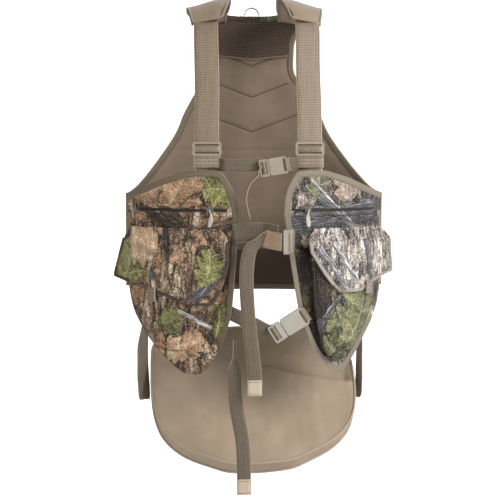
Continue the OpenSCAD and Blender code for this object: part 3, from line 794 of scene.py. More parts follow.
STRAP_WEB = {"left": WEB, "right": WEB_PAINTED_LIGHT}
PANEL_LOOKS = {"left": CAMO_LEFT, "right": CAMO_RIGHT}
PANEL_TAPES = {"left": TAPE, "right": TAPE_PAINTED_LIGHT}
POCKET_LOOKS = {"left": CAMO_POCKET_LEFT, "right": CAMO_POCKET_RIGHT}
GUSSET_LOOKS = {"left": CAMO_GUSSET, "right": CAMO_PAINTED_SHADE}
FLAP_LOOKS = {"left": CAMO_FLAP_LEFT, "right": CAMO_FLAP_RIGHT}
FLAP_RIMS = {"left": RIM_PAINTED_SHADE, "right": RIM_PALE}
TAB_LOOKS = {"left": WEB_CROSS, "right": CAMO_FLAP_RIGHT}


# ---- Cloth helpers -------------------------------------------------------------------

class Area:
    """The part of a cylinder that some nodes cover, trimmed at its lowest and highest point."""

    def __init__(self, *names, trim=(0.003, 0.003)):
        self.slices = Slices(*names)
        self.low, self.high = self.slices.low + trim[0], self.slices.high - trim[1]

    def at(self, z):
        return self.slices.at(z)

    def free(self, x, z, start, full):
        """0 within start of the area's edge, and 1 from full inwards."""
        x0, x1 = self.at(z)
        edge = max(0.0, min(x - x0, x1 - x, z - self.low, self.high - z))
        return float(soft(edge, start, full))


def sheet_grid(cylinder, area, rows, cols, lift, inset=0.0):
    """Grids of points, normals and cloth coordinates over an area. lift(x, z) is the height there."""
    mid, out, cloth = [], [], []
    for v in np.linspace(0, 1, rows):
        z = area.low + (area.high - area.low) * v
        x0, x1 = area.at(z)
        x0, x1 = x0 + inset, x1 - inset
        for u in np.linspace(0, 1, cols):
            x = x0 + (x1 - x0) * u
            up = lift(x, z)
            mid.append(cylinder.at(x, z, up))
            out.append(cylinder.normal(x, up))
            cloth.append((cylinder.arc(x), z, 0))
    return [np.array(part).reshape(rows, cols, 3) for part in (mid, out, cloth)]


def on_surface(cylinder, xz, lift):
    """Points over a path in X and Z. lift is their height, at each one or for all."""
    lifts = np.broadcast_to(lift, (len(xz),))
    return np.array([cylinder.at(x, z, up) for (x, z), up in zip(xz, lifts)])


def edge_tape(name, cylinder, xz, lift, half_w, half_t, material):
    """Binding tape along a path in X and Z, its width lying in the surface."""
    rows = on_surface(cylinder, xz, lift)
    wide = np.cross(cylinder.normals(xz), tangents(rows))
    return sweep(name, rows, wide, half_w, half_t, material)


def sewn(name, cylinder, xz, lift, facing=1):
    """Stitches along a path in X and Z, on the outside or, facing -1, on the inside."""
    return stitches(name, on_surface(cylinder, xz, lift), facing * cylinder.normals(xz), THREAD)


def printed_on(obj, cylinder):
    """Gives a piece the cloth coordinates of the surface under it, so that its print runs on."""
    flat = [(cylinder.arc(v.co.x), v.co.z, 0.0) for v in obj.data.vertices]
    obj.data.attributes["cloth"].data.foreach_set("vector", np.array(flat, np.float32).ravel())
    return obj


def shown_as(piece, body, *nodes):
    """Makes a piece ride on a body and stand for some frame nodes."""
    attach(piece, body)
    if nodes:
        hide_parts(*nodes)
    return piece


def blended(piece, node, body):
    """A piece that stands for a node: hides the node and bakes the piece's placement into its mesh. body is
    not used.
    """
    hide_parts(node)
    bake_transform(piece)


def like(piece, node):
    """A piece that goes with a node, without standing for it."""
    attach(piece, BODY_OF[node])
    return piece


# ---- Back ----------------------------------------------------------------------------

QUILT_APEX = (-0.121, -0.187, -0.261)
QUILT_SLOPE = 0.38
BACK_SEAMS = (-0.300, LOW_SEAM)


def line_dip(distance, width):
    """1 on a line, and close to 0 at twice width from it."""
    return math.exp(-(distance / width) ** 2)


def quilt_dip(x, z):
    """1 on a sewn line of the back panel and 0 between the lines."""
    dip = 0.0
    for apex in QUILT_APEX:
        dip = max(dip, line_dip(z - apex - QUILT_SLOPE * abs(x), 0.0036))
    for seam in BACK_SEAMS:
        dip = max(dip, 0.6 * line_dip(z - seam, 0.0035))
    return dip


def quilt_lift(area, x, z):
    """Height of the quilted inner cloth's middle over the back's surface."""
    folds = 0.0020 * ripple(x, z * 0.6, 0.085, 1) + 0.0012 * ripple(x, z, 0.035, 2)
    fullness = 0.4 + 0.6 * soft(-z, 0.26, 0.40)
    return 0.0008 - area.free(x, z, 0.004, 0.035) * (0.0012 + fullness * folds)


def shell_lift(area, x, z):
    """Height of the outer cloth's middle over the back's surface."""
    puff = 0.0016 * ripple(x, z, 0.05, 5) + 0.0016 * ripple(x, z * 0.5, 0.11, 6)
    return 0.0030 + area.free(x, z, 0.0, 0.03) * (0.0020 + puff - 0.0016 * quilt_dip(x, z))


def seam_line(name, area, path, sink, half_w):
    """A raised line of dark thread, sunk below the middle of the quilted cloth. Its darkness is partly the
    thread and partly painted shade of the quilting groove.
    """
    depth = np.array([quilt_lift(area, x, z) - sink for x, z in path])
    like(edge_tape(name, BACK, np.array(path), depth, half_w, 0.0006, DARK_THREAD_AND_SHADE), "back_lining")


def build_back():
    area = Area("back_lining", "armhole_binding_left", "armhole_binding_right", "hem_binding", "collar_band")
    mid, out, cloth = sheet_grid(BACK, area, 170, 130, lambda x, z: quilt_lift(area, x, z), 0.003)
    thick = [0.0022 + area.free(x, z, 0.0, 0.03) * 0.0052 * (1 - quilt_dip(x, z))
             for x, _, z in mid.reshape(-1, 3)]
    quilt = pillow("back_quilt", mid, np.reshape(thick, mid.shape[:2]), cloth, LINING, out)
    shown_as(quilt, "root", "back_lining", "back_foam")

    for k, apex in enumerate(QUILT_APEX):
        reach = area.at(apex + 0.04)[1] - 0.016
        xs = np.linspace(-reach, reach, 2 * int(reach / 0.003) + 1)
        seam_line(f"quilt_seam_{k}", area, [(x, apex + QUILT_SLOPE * abs(x)) for x in xs], 0.0013, 0.0011)
    low_seam = BACK_SEAMS[-1]
    reach = area.at(low_seam)[1] - 0.012
    seam_line("back_seam_0", area, [(x, low_seam) for x in np.linspace(-reach, reach, 120)], 0.0024, 0.0012)

    mid, out, cloth = sheet_grid(BACK, area, 130, 110, lambda x, z: shell_lift(area, x, z), 0.003)
    shown_as(pillow("back_shell_cloth", mid, 0.0016, cloth, CAMO_BACK, out), "root", "back_shell")


class MeshArea:
    """The mesh panel at the upper back, between the armholes' bindings."""

    low, high = -0.100, -0.028
    margin = 0.0115

    def __init__(self):
        self.back = Slices("back_lining", "armhole_binding_left", "armhole_binding_right")

    def at(self, z):
        x0, x1 = self.back.at(z)
        return x0 + self.margin, x1 - self.margin


def mesh_lift(x, z):
    ridge = math.sin((z + 0.0012 * math.sin(x * 520)) * 2 * math.pi / MESH_RIDGE)
    return -0.0062 + 0.0003 * ridge + 0.0006 * ripple(x, z, 0.03, 3)


def mesh_sag(x):
    """How far the mesh panel's lower edge hangs down at x."""
    return 0.006 * (1 - np.minimum(1, np.abs(x) / 0.07))


def build_mesh_panel():
    area = MeshArea()
    mid, out, cloth = sheet_grid(BACK, area, 96, 110, mesh_lift)
    mid[..., 2] -= mesh_sag(mid[..., 0]) * np.linspace(1, 0, len(mid))[:, None]
    shown_as(pillow("mesh_lining", mid, 0.0012, cloth, MESH, out), "root", "mesh_panel")
    edge = np.array([(x, area.low - 0.001 - mesh_sag(x)) for x in np.linspace(*area.at(area.low), 60)])
    like(edge_tape("mesh_edge", BACK, edge, -0.0065, 0.0022, 0.0009, LINING), "mesh_panel")


def shift_in(xz, distance):
    """A path in X and Z, moved to its left."""
    along = unit(np.gradient(xz, axis=0))
    return xz + distance * np.stack([-along[:, 1], along[:, 0]], 1)


def armhole_path(side):
    """X and Z down the cut edge of the back panel."""
    slices = Slices(f"armhole_binding_{side}")
    zs = np.linspace(slices.high - 0.001, slices.low + 0.004, 110)
    edge = 1 if side == "right" else 0
    rows = np.array([(slices.at(z)[edge], z, 0) for z in zs])
    return even(rows, 0.004)[:, :2]


BACK_SIDE_Z = (-0.388, -0.578)
TAPE_LIFT = 0.0016


def build_back_edges():
    for side, sign in SIDES.items():
        node = f"armhole_binding_{side}"
        path = shift_in(armhole_path(side), -sign * 0.0052)
        tape = edge_tape(f"armhole_tape_{side}", BACK, path, TAPE_LIFT, 0.0064, 0.0034, TAPE)
        shown_as(tape, "root", node)
        like(sewn(f"armhole_stitch_{side}", BACK, shift_in(path, -sign * 0.0042), -0.0021, -1), node)
        side_x = sign * (highest("back_lining")[0] - 0.004)
        seam = np.array([(side_x, z) for z in np.linspace(*BACK_SIDE_Z, 60)])
        like(edge_tape(f"side_tape_{side}", BACK, seam, TAPE_LIFT, 0.0055, 0.0034, TAPE), "back_lining")
    hem = Slices("hem_binding", along=0, across=2)
    xs = np.linspace(hem.low + 0.001, hem.high - 0.001, 150)
    path = even(np.array([(x, hem.at(x)[0] + 0.006, 0) for x in xs]), 0.005)[:, :2]
    shown_as(edge_tape("hem_tape", BACK, path, TAPE_LIFT, 0.0064, 0.0036, TAPE), "root", "hem_binding")
    like(sewn("hem_stitch", BACK, path + [0, 0.0042], -0.0023, -1), "hem_binding")


def build_collar():
    low, high = lowest("collar_band"), highest("collar_band")
    xs = np.linspace(low[0] - 0.012, high[0] + 0.012, 90)
    z_mid = (low[2] + high[2]) / 2
    path = np.array([(x, z_mid + 0.010 * (abs(x) / 0.072) ** 5) for x in xs])
    rows = on_surface(BACK, path, 0.0008)
    rows[:, 2] += 0.0006 * np.sin(np.arange(len(rows)) * 1.9)
    half_w = 0.0074 + 0.0005 * np.sin(np.arange(len(rows)) * 1.3)
    wide = np.cross(BACK.normals(path), tangents(rows))
    band = sweep("collar_cloth", rows, wide, half_w, 0.0046, CAMO_COLLAR)
    shown_as(band, "root", "collar_band")


def build_hang_loop():
    low, high = lowest("hang_loop"), highest("hang_loop")
    radius = (high[0] - low[0]) / 2 - 0.001
    top = high[2] - 0.001
    rows = [(radius * math.cos(a), 0.0, top - radius + radius * math.sin(a))
            for a in np.linspace(math.pi, 0, 40)]
    loop = sweep("hang_loop_web", rows, (0, 1, 0), 0.0058, 0.0009, WEB_OLIVE)
    shown_as(loop, "root", "hang_loop")


BAG_SHIFT = 0.4  # Moves the bag's print along the cloth, off the shell's


def build_game_bag():
    slices = Slices("game_bag")
    low, high = slices.low + 0.001, slices.high - 0.001

    def row_at(v):
        z = low + (high - low) * v
        x0, x1 = slices.at(z)
        x0, x1 = x0 + 0.001, x1 - 0.001
        rise = float(soft(v, 0.0, 0.12)) * (0.6 + 0.4 * (1 - v) ** 0.5)

        def point(t):
            u = eased(t)
            swell = (1 - abs(2 * u - 1) ** 5) ** 0.2
            x = x0 + (x1 - x0) * u
            fold = 0.0018 * ripple(x, z * 1.4, 0.06, 8)
            lift = 0.0072 + rise * swell * (0.0155 + fold)
            return BACK.at(x, z, lift), (BACK.arc(x) + BAG_SHIFT, z, 0)

        return point

    mid, cloth = grid(70, 110, row_at)
    shown_as(pillow("game_bag_cloth", mid, 0.0018, cloth, CAMO_BAG), "root", "game_bag")
    like(sweep("game_bag_edge", mid[-1] + [0, 0, 0.001], UP, 0.0058, 0.0019, TAPE), "game_bag")


# ---- Shoulders -----------------------------------------------------------------------

PAD_CENTRE = (-0.097, -0.122)
PAD_R = 0.120
PAD_REAR_Y = -0.036
PAD_SPREAD = (PAD_R + 0.0035) / PAD_R


def pad_point(x, y, lift):
    """A point over the shoulder arc, its normal and its arc length. The outer edge droops."""
    lift = lift - 0.017 * float(soft(abs(x), 0.050, 0.150)) * 1.25 + 0.002
    angle = math.asin(max(-0.98, min(0.98, (y - PAD_CENTRE[0]) / PAD_R)))
    r = PAD_R + lift
    out = np.array([0.0, math.sin(angle), math.cos(angle)])
    return np.array([x, PAD_CENTRE[0], PAD_CENTRE[1]]) + out * r, out, PAD_R * angle


def pad_sheet(name, side, lift, thick, ends, inset, material, shift, rows=60, cols=36):
    """A sheet over a shoulder. lift(x, y) is its height, thick(d) its thickness at d from its edge,
    and ends its limits in Y. shift moves its print."""
    spans = Slices(f"shoulder_pad_{side}", along=1)
    mid, out, cloth, depths = [], [], [], []
    for y in np.linspace(*ends, rows):
        x0, x1 = spans.at(min(PAD_REAR_Y, PAD_CENTRE[0] + (y - PAD_CENTRE[0]) * PAD_SPREAD))
        tuck = 0.007 * float(soft(y, -0.150, -0.190))
        x0, x1 = (x0 + tuck, x1) if x0 > 0 else (x0, x1 - tuck)
        for u in np.linspace(0, 1, cols):
            x = x0 + inset + (x1 - x0 - 2 * inset) * u
            point, normal, arc = pad_point(x, y, lift(x, y))
            mid.append(point)
            out.append(normal)
            cloth.append((x + shift, arc, 0))
            depths.append(thick(min(min(u, 1 - u) * (x1 - x0), min(y - ends[0], ends[1] - y) * 1.2)))
    mid, out, cloth = (np.array(part).reshape(rows, cols, 3) for part in (mid, out, cloth))
    return pillow(name, mid, np.reshape(depths, (rows, cols)), cloth, material, out)


def pad_thick(d):
    return 0.0022 + 0.0046 * float(soft(d, 0, 0.014))


def yoke_thick(d):
    return 0.0014 + 0.0012 * float(soft(d, 0, 0.012))


def build_shoulders():
    for side, sign in SIDES.items():
        pad, yoke = f"shoulder_pad_{side}", f"shoulder_yoke_{side}"
        front_y = lowest(pad)[1]
        seed = 3.0 + sign

        def pad_lift(x, y):
            return 0.0035 + 0.0004 * ripple(x, y, 0.03, seed)

        def front_lift(x, y):
            return 0.0080 + 0.0008 * ripple(x, y, 0.028, seed + 4)

        def rear_lift(x, y):
            return 0.0086 + 0.0008 * ripple(x, y, 0.028, seed + 7)

        under = pad_sheet(f"shoulder_pad_cloth_{side}", side, pad_lift, pad_thick,
                          (front_y + 0.010, -0.017), 0.002, PAD_CLOTH, 0.3)
        shown_as(under, "root", pad)
        front = pad_sheet(f"shoulder_front_cloth_{side}", side, front_lift, yoke_thick,
                          (front_y + 0.008, -0.104), 0.0005, PAD_CLOTH, 0.6, 40)
        shown_as(front, "root", yoke)
        rear = pad_sheet(f"shoulder_yoke_cloth_{side}", side, rear_lift, yoke_thick,
                         (-0.108, -0.013), 0.0005, CAMO_BACK, 0.9, 40)
        like(rear, yoke)
        build_pad_edges(side)


def build_pad_edges(side):
    """The pad's front hem and the tapes along its two sides."""
    spans = Slices(f"shoulder_pad_{side}", along=1)
    front_y = -0.1885
    row = np.array([pad_point(x, front_y, 0.0088)[0] for x in np.linspace(*spans.at(-0.193), 24)])
    wide = np.cross(pad_point(0, front_y, 0)[1], (1, 0, 0))
    hem = sweep(f"shoulder_front_seam_{side}", row, wide, 0.0022, 0.0012, PAD_CLOTH)
    like(hem, f"shoulder_yoke_{side}")
    ys = np.linspace(-0.188, -0.018, 90)
    outs = np.array([pad_point(0, y, 0)[1] for y in ys])
    for edge, inset in ((0, 0.001), (1, -0.001)):
        rows = [pad_point(spans.at(min(PAD_REAR_Y, y))[edge] + inset, y, 0.0045)[0] for y in ys]
        tape = sweep(f"shoulder_edge_{side}_{edge}", rows, outs, 0.0052, 0.0019, TAPE)
        like(tape, f"shoulder_pad_{side}")


def strap_matrix(sign):
    """Local frame of a shoulder strap, which hangs along -Z and faces -Y."""
    return (Matrix.Translation((sign * 0.100, -0.202, -0.050))
            @ Matrix.Rotation(math.radians(-12), 4, "X"))


# Y and Z along a strap in its own frame, from under the pad down to the tab.
STRAP_LINE = [(0.026, 0.012), (0.017, 0.004), (0.010, -0.004), (0.004, -0.017), (0.0005, -0.036),
              (0.0012, -0.09), (0.0002, -0.16), (0.0008, -0.22), (0.0005, -0.245),
              (0.0006, -0.262), (0.0006, -0.278), (0.002, -0.299)]
# Y and Z of the webbing's loop over the adjuster's bar, from the middle of the bar.
ADJUSTER_WRAP = [(-0.0004, 0.0075), (-0.0030, 0.0058), (-0.0052, 0.0036), (-0.0057, 0.0),
                 (-0.0052, -0.0036), (-0.0030, -0.0058), (-0.0004, -0.0075)]
ADJUSTER_Z = -0.256
TAB_LINE = [(-0.0030, -0.2705), (-0.0034, -0.281), (-0.0030, -0.2935)]


def build_shoulder_straps():
    wide = (1, 0, 0)
    for side, sign in SIDES.items():
        local = strap_matrix(sign)
        outward = aim((0, -1, 0), local)
        rows = spline([(0, y, z) for y, z in STRAP_LINE], 0.004)
        rows[:, 0] += 0.0006 * np.sin(rows[:, 2] * 30 + sign)
        strap = sweep(f"shoulder_web_{side}", to_frame(rows, local), wide, 0.0240, 0.0009, STRAP_WEB[side])
        shown_as(strap, "root", f"shoulder_strap_{side}")
        for letter, edge in (("a", -0.0225), ("b", 0.0225)):
            lane = to_frame(rows[4:-8] + [edge, -0.0009, 0], local)
            line = stitches(f"shoulder_web_stitch_{side}_{letter}", lane, outward, THREAD, 0.0050)
            like(line, f"shoulder_strap_{side}")

        wrap = to_frame(spline([(0, y, ADJUSTER_Z + z) for y, z in ADJUSTER_WRAP], 0.001), local)
        like(sweep(f"adjuster_wrap_{side}", wrap, wide, 0.0232, 0.0008, WEB), f"strap_adjuster_{side}")
        moulded(f"strap_adjuster_{side}", 0.0011, PLASTIC)

        rows = to_frame(spline([(0, y, z) for y, z in TAB_LINE], 0.003), local)
        tab = sweep(f"strap_tab_web_{side}", rows, wide, 0.0258, 0.0011, WEB_CROSS)
        shown_as(tab, "root", f"strap_tab_{side}")
        for k, z in enumerate((-0.2735, -0.2905)):
            lane = np.array([(x, -0.0043, z) for x in np.linspace(-0.022, 0.022, 20)])
            line = stitches(f"strap_tab_stitch_{side}_{k}", to_frame(lane, local), outward, THREAD)
            like(line, f"strap_tab_{side}")


# ---- Front panels --------------------------------------------------------------------

ZIP_Z = -0.418
PANEL_CORNER_Z = -0.388
# Where each panel's tape stops: on the inner edge, or round the point on the outer edge.
PANEL_TAPE_END = {"left": (-0.700, None), "right": (None, -0.640)}
SIDE_JOIN_Z = (-0.571, -0.400)
SIDE_JOIN_X = 0.2600


def build_front_panels():
    for side, sign in SIDES.items():
        binding = f"front_binding_{side}"
        area = Area(binding, trim=(0.004, 0.003))

        def lift(x, z):
            folds = 0.0026 * ripple(x, z, 0.06, 11 + sign) + 0.0012 * ripple(x, z, 0.022, 13 + sign)
            fullness = 0.35 + 0.65 * float(soft(z, -0.47, -0.44))
            groove = 0.0022 * line_dip(z - ZIP_Z, 0.004)
            return 0.0006 + area.free(x, z, 0.002, 0.03) * (folds * fullness - groove)

        mid, out, cloth = sheet_grid(FRONT, area, 150, 90, lift, 0.001)
        sheet = pillow(f"front_cloth_{side}", mid, 0.0022, cloth, PANEL_LOOKS[side], out)
        shown_as(sheet, "root", f"front_panel_{side}")
        path = shift_in(panel_edge(area.slices, sign, PANEL_TAPE_END[side]), sign * 0.0056)
        tape = edge_tape(f"front_tape_{side}", FRONT, path, 0.0008, 0.0062, 0.0024, PANEL_TAPES[side])
        shown_as(tape, "root", binding)
        inner = shift_in(path, sign * 0.0042)[4:-4]
        like(sewn(f"front_stitch_{side}", FRONT, inner, 0.0030), binding)


def panel_edge(spans, sign, ends):
    """X and Z from a front panel's top outer corner, over its top and down its inner edge.

    ends holds the height at which the path stops on the inner edge, or, if it goes round the
    lower point, on the outer edge.
    """
    outer, inner = (1, 0) if sign > 0 else (0, 1)
    stop_inner, stop_outer = ends
    top, bottom = spans.high - 0.0006, spans.low + 0.0006
    legs = [(outer, PANEL_CORNER_Z, top, 60),
            (inner, top, bottom if stop_inner is None else stop_inner, 140)]
    if stop_outer is not None:
        legs.append((outer, bottom, stop_outer, 40))
    rows = [(spans.at(z)[edge], z, 0) for edge, a, b, count in legs for z in np.linspace(a, b, count)]
    rows = even(np.array(rows), 0.0035)[:, :2]
    for _ in range(4):
        rows[1:-1] = (rows[:-2] + 2 * rows[1:-1] + rows[2:]) / 4
    return rows


def build_side_joins():
    """Strips of cloth that join the outer edge of each front panel to the side of the back."""
    low, high = SIDE_JOIN_Z
    for side, sign in SIDES.items():
        spans = Slices(f"front_binding_{side}")

        def row_at(v):
            z = low + (high - low) * v
            edge = spans.at(z)[0 if sign < 0 else 1]
            front = FRONT.at(edge - sign * 0.005, z, -0.001)
            back = BACK.at(sign * SIDE_JOIN_X, z, 0.002)

            def point(t):
                place = front + (back - front) * t
                place[0] += sign * 0.0030 * math.sin(math.pi * t)
                return place, (place[1], z, 0)

            return point

        mid, cloth = grid(50, 9, row_at)
        like(pillow(f"side_join_{side}", mid, 0.0016, cloth, CAMO_SIDE), f"front_panel_{side}")


# Height, size: a tooth narrows upwards.
TOOTH_LEVELS = ((0, 1.0), (0.0006, 0.9), (0.0010, 0.55))
TOOTH_CORNERS = ((-1, -1), (1, -1), (1, 1), (-1, 1))
TOOTH_PITCH = 0.0021


def zip_teeth(name, x0, x1, z, lift):
    """Two meshed rows of small teeth along the front surface."""
    verts, faces = [], []
    start, end = FRONT.arc(x0), FRONT.arc(x1)
    for k in range(int((end - start) / TOOTH_PITCH)):
        arc = start + (k + 0.5) * TOOTH_PITCH
        x = FRONT.radius * math.sin(arc / FRONT.radius)
        out = FRONT.normal(x)
        along = np.cross(out, UP) * TOOTH_PITCH * 0.36
        base = FRONT.at(x, z + (0.0009 if k % 2 else -0.0009), lift)
        for level, grow in TOOTH_LEVELS:
            for a, b in TOOTH_CORNERS:
                verts.append(base + along * a * grow + UP * b * 0.0014 * grow + out * level)
        q = len(verts) - 12
        faces += [(q + 3, q + 2, q + 1, q), (q + 8, q + 9, q + 10, q + 11)]
        for low in (q, q + 4):
            for s in range(4):
                t = (s + 1) % 4
                faces.append((low + s, low + t, low + 4 + t, low + 4 + s))
    return mesh_object(name, verts, faces, None, TEETH)


# Name, height over the zip's middle, half width, and its stitches' height over its own middle.
ZIP_LIPS = (("upper", 0.0070, 0.0046, -0.0025), ("lower", -0.0074, 0.0040, 0.0022))


def build_zips():
    for side in SIDES:
        node = f"zip_track_{side}"
        x0, x1 = lowest(node)[0] + 0.002, highest(node)[0] - 0.002
        xs = np.linspace(x0, x1, 90)
        path = np.array([(x, ZIP_Z) for x in xs])
        tape = edge_tape(f"zip_tape_{side}", FRONT, path, 0.0030, 0.0085, 0.0005, ZIP_TAPE)
        shown_as(tape, "root", node)
        like(zip_teeth(f"zip_teeth_{side}", x0, x1, ZIP_Z, 0.0035), node)
        for name, rise, half_w, stitch_rise in ZIP_LIPS:
            z = ZIP_Z + rise
            rows = np.array([(x, z + 0.0007 * ripple(x, z, 0.02, 17)) for x in xs])
            lip = edge_tape(f"zip_lip_{name}_{side}", FRONT, rows, 0.0042, half_w, 0.0008, PANEL_LOOKS[side])
            like(printed_on(lip, FRONT), node)
            like(sewn(f"zip_stitch_{name}_{side}", FRONT, rows + [0, stitch_rise], 0.0050), node)
        moulded(f"zip_slider_{side}", 0.0008, METAL)
        build_cord(side)


CORD_SWAY = {"left": -1.6, "right": 1}


def build_cord(side):
    """The pull cord: thin at the slider and swelling into a grip, with a small ring at its top."""
    node = f"zip_cord_{side}"
    mid = centre(node)
    out = FRONT.normal(mid[0])
    along = np.cross(out, UP)
    length = highest(node)[2] - lowest(node)[2]
    rows, half_widths = [], []
    for t in np.linspace(0, 1, 40):
        sway = 0.0022 * math.sin(t * math.pi * 1.15) * CORD_SWAY[side]
        rows.append(mid + along * sway + UP * (length * (0.5 - t)) + out * 0.0008 * math.sin(t * 5))
        grip = float(soft(t, 0.18, 0.55)) * (1 - 0.55 * float(soft(t, 0.82, 1.0)))
        half_widths.append(0.0012 + 0.0032 * grip)
    pull = sweep(f"zip_pull_{side}", rows, along, np.array(half_widths), 0.0012, CORD, tube_section(12))
    shown_as(pull, BODY_OF[node], node)
    top = mid + UP * (length * 0.5 - 0.002)
    ring = [top + UP * 0.0032 * math.sin(a) + along * 0.0026 * math.cos(a)
            for a in np.linspace(0, 2 * math.pi, 20, endpoint=False)]
    like(cord(f"zip_ring_{side}", ring, 0.0006, METAL, closed=True), node)


# ---- Cargo pockets -------------------------------------------------------------------

class PocketArea:
    """X limits of a pocket. The left one also covers the panel's outer and lower edge."""

    def __init__(self, side):
        self.pocket = Slices(f"cargo_pocket_{side}")
        self.panel = Slices(f"front_binding_{side}")
        self.left = side == "left"
        self.low = (self.panel.low + 0.002) if self.left else self.pocket.low + 0.001
        self.high = self.pocket.high - 0.001

    def at(self, z):
        x0, x1 = self.pocket.at(z)
        if not self.left:
            return x0, x1
        edge0, edge1 = self.panel.at(z)
        blend = float(soft(z, self.pocket.low + 0.075, self.pocket.low + 0.02))
        return edge0 + 0.001, min(x1, edge1) * (1 - blend) + (edge1 - 0.003) * blend


GUSSET_TOP = {"left": -0.600, "right": -0.492}


def build_gussets():
    """Cloth walls between the panel and the pocket's inner edge."""
    for side, sign in SIDES.items():
        pocket = Slices(f"cargo_pocket_{side}")
        panel = Slices(f"front_binding_{side}")
        inner = 1 if sign < 0 else 0
        low, high = pocket.low + 0.010, GUSSET_TOP[side]

        def row_at(v):
            z = low + (high - low) * v
            edge = panel.at(z)[inner] + sign * 0.010
            mouth = pocket.at(z)[inner] + sign * 0.020
            height = 0.0100 * math.sin(math.pi * min(1, 0.15 + v * 0.85))

            def point(u):
                x = edge + (mouth - edge) * u
                ruck = 0.0025 * math.sin(u * 9 + z * 40) * math.sin(math.pi * u)
                return FRONT.at(x, z, 0.0040 + height * u ** 1.5 + ruck), (FRONT.arc(x), z, 0)

            return point

        mid, cloth = grid(60, 18, row_at)
        like(pillow(f"cargo_gusset_{side}", mid, 0.0014, cloth, GUSSET_LOOKS[side]), f"cargo_pocket_{side}")


def build_pockets():
    for side, sign in SIDES.items():
        node = f"cargo_pocket_{side}"
        area = PocketArea(side)

        def row_at(v):
            z = area.low + (area.high - area.low) * v
            x0, x1 = area.at(z)
            rise = (1 - (1 - min(1.0, v / 0.16)) ** 2.4) ** 0.5
            sag = 0.80 + 0.20 * math.sin(math.pi * min(1.0, 0.15 + v * 0.8))

            def point(t):
                u = eased(t)
                swell = (1 - abs(2 * u - 1) ** 4.5) ** 0.26
                x = x0 + (x1 - x0) * u
                folds = 0.0032 * ripple(x, z * 0.7, 0.05, 21 + sign) + 0.0014 * ripple(x, z, 0.02, 23)
                lift = 0.0050 + rise * swell * (sag * 0.0225 + folds)
                return FRONT.at(x, z, lift), (FRONT.arc(x), z, 0)

            return point

        mid, cloth = grid(90, 80, row_at)
        shown_as(pillow(f"cargo_bag_{side}", mid, 0.0018, cloth, POCKET_LOOKS[side]), "root", node)
        like(sweep(f"cargo_rim_{side}", mid[-1], UP, 0.0055, 0.0018, TAPE), node)
        seam, outs = mid[4:-3, 8], grid_normals(mid)[4:-3, 8]
        like(stitches(f"cargo_stitch_{side}", seam + outs * 0.0011, outs, THREAD), node)


# Places of the stitched lines in a flap's grid.
FLAP_STITCHES = {"inner": np.s_[2:-22, 2], "outer": np.s_[2:-22, -3], "bottom": np.s_[2, 2:-2]}
FLAP_ABOVE = 0.016  # How far a flap's cloth runs up over its hinge


def flap_lift(x, z, top, seed):
    """Height of a flap over the front surface: it falls forwards from its sewn top edge."""
    fall = float(soft(top - z, 0.002, 0.030))
    folds = 0.0030 * ripple(x, z, 0.055, seed) + 0.0012 * ripple(x, z, 0.02, seed + 1)
    return 0.0046 + fall * (0.0288 + folds)


def build_flaps():
    for side, sign in SIDES.items():
        node = f"flap_{side}"
        mid, cloth = flap_grid(node, sign)
        out = grid_normals(mid)
        hinge_z = Slices(node).high
        x, y, _ = centre(node)
        flap = pillow(f"flap_cloth_{side}", mid, 0.0022, cloth, FLAP_LOOKS[side])
        blended(flap, node, BODY_OF[node])
        rows, outs = (np.concatenate([g[-14:2:-1, 0], g[2, 1:-1], g[2:-14, -1]]) for g in (mid, out))
        wide = np.cross(outs, tangents(rows))
        like(sweep(f"flap_rim_{side}", rows, wide, 0.0030, 0.0030, FLAP_RIMS[side]), node)
        for name, where in FLAP_STITCHES.items():
            outs = out[where]
            like(stitches(f"flap_stitch_{name}_{side}", mid[where] + outs * 0.0012, outs, THREAD), node)
        moulded(f"snap_cap_{side}", 0.0009, METAL)
        build_pull_tab(side)
    moulded("snap_studs", 0.0003, METAL)


def flap_grid(node, sign):
    spans = Slices(node)
    low, top = spans.low + 0.0005, spans.high + FLAP_ABOVE

    def row_at(v):
        z = low + (top - low) * v
        x0, x1 = spans.at(min(z, spans.high))
        squeeze = 0.012 * float(soft(z, spans.high - 0.002, top))

        def point(u):
            x = x0 + squeeze + (x1 - x0 - 2 * squeeze) * u
            return FRONT.at(x, z, flap_lift(x, z, top, 31 + 5 * sign)), (FRONT.arc(x), z, 0)

        return point

    return grid(84, 96, row_at)


def build_pull_tab(side):
    node = f"pull_tab_{side}"
    mid = centre(node)
    normal = FRONT.normal(mid[0])
    line = [mid + UP * s + normal * (0.0006 + 0.0010 * math.sin((s + 0.014) * 90))
            for s in np.linspace(-0.0135, 0.0135, 12)]
    tab = sweep(f"pull_tab_web_{side}", line, np.cross(normal, UP), 0.0108, 0.0009, TAB_LOOKS[side])
    shown_as(tab, BODY_OF[node], node)


# ---- Buckles and webbing -------------------------------------------------------------

def buckle_matrix(origin, axis, degrees):
    return Matrix.Translation(origin) @ Matrix.Rotation(math.radians(degrees), 4, axis)


BUCKLES = {
    "sternum": (buckle_matrix((0, -0.288, -0.338), "Y", -9), 0.054, 0.025),
    "upper_waist": (buckle_matrix((0.046, -0.344, -0.476), "Z", 75), 0.058, 0.038),
    "lower_waist": (buckle_matrix((0.024, -0.292, -0.660), "Y", -32), 0.076, 0.028),
}


BUCKLE_PLASTIC = {"sternum": PLASTIC, "upper_waist": PLASTIC_PALE, "lower_waist": PLASTIC_PALE}
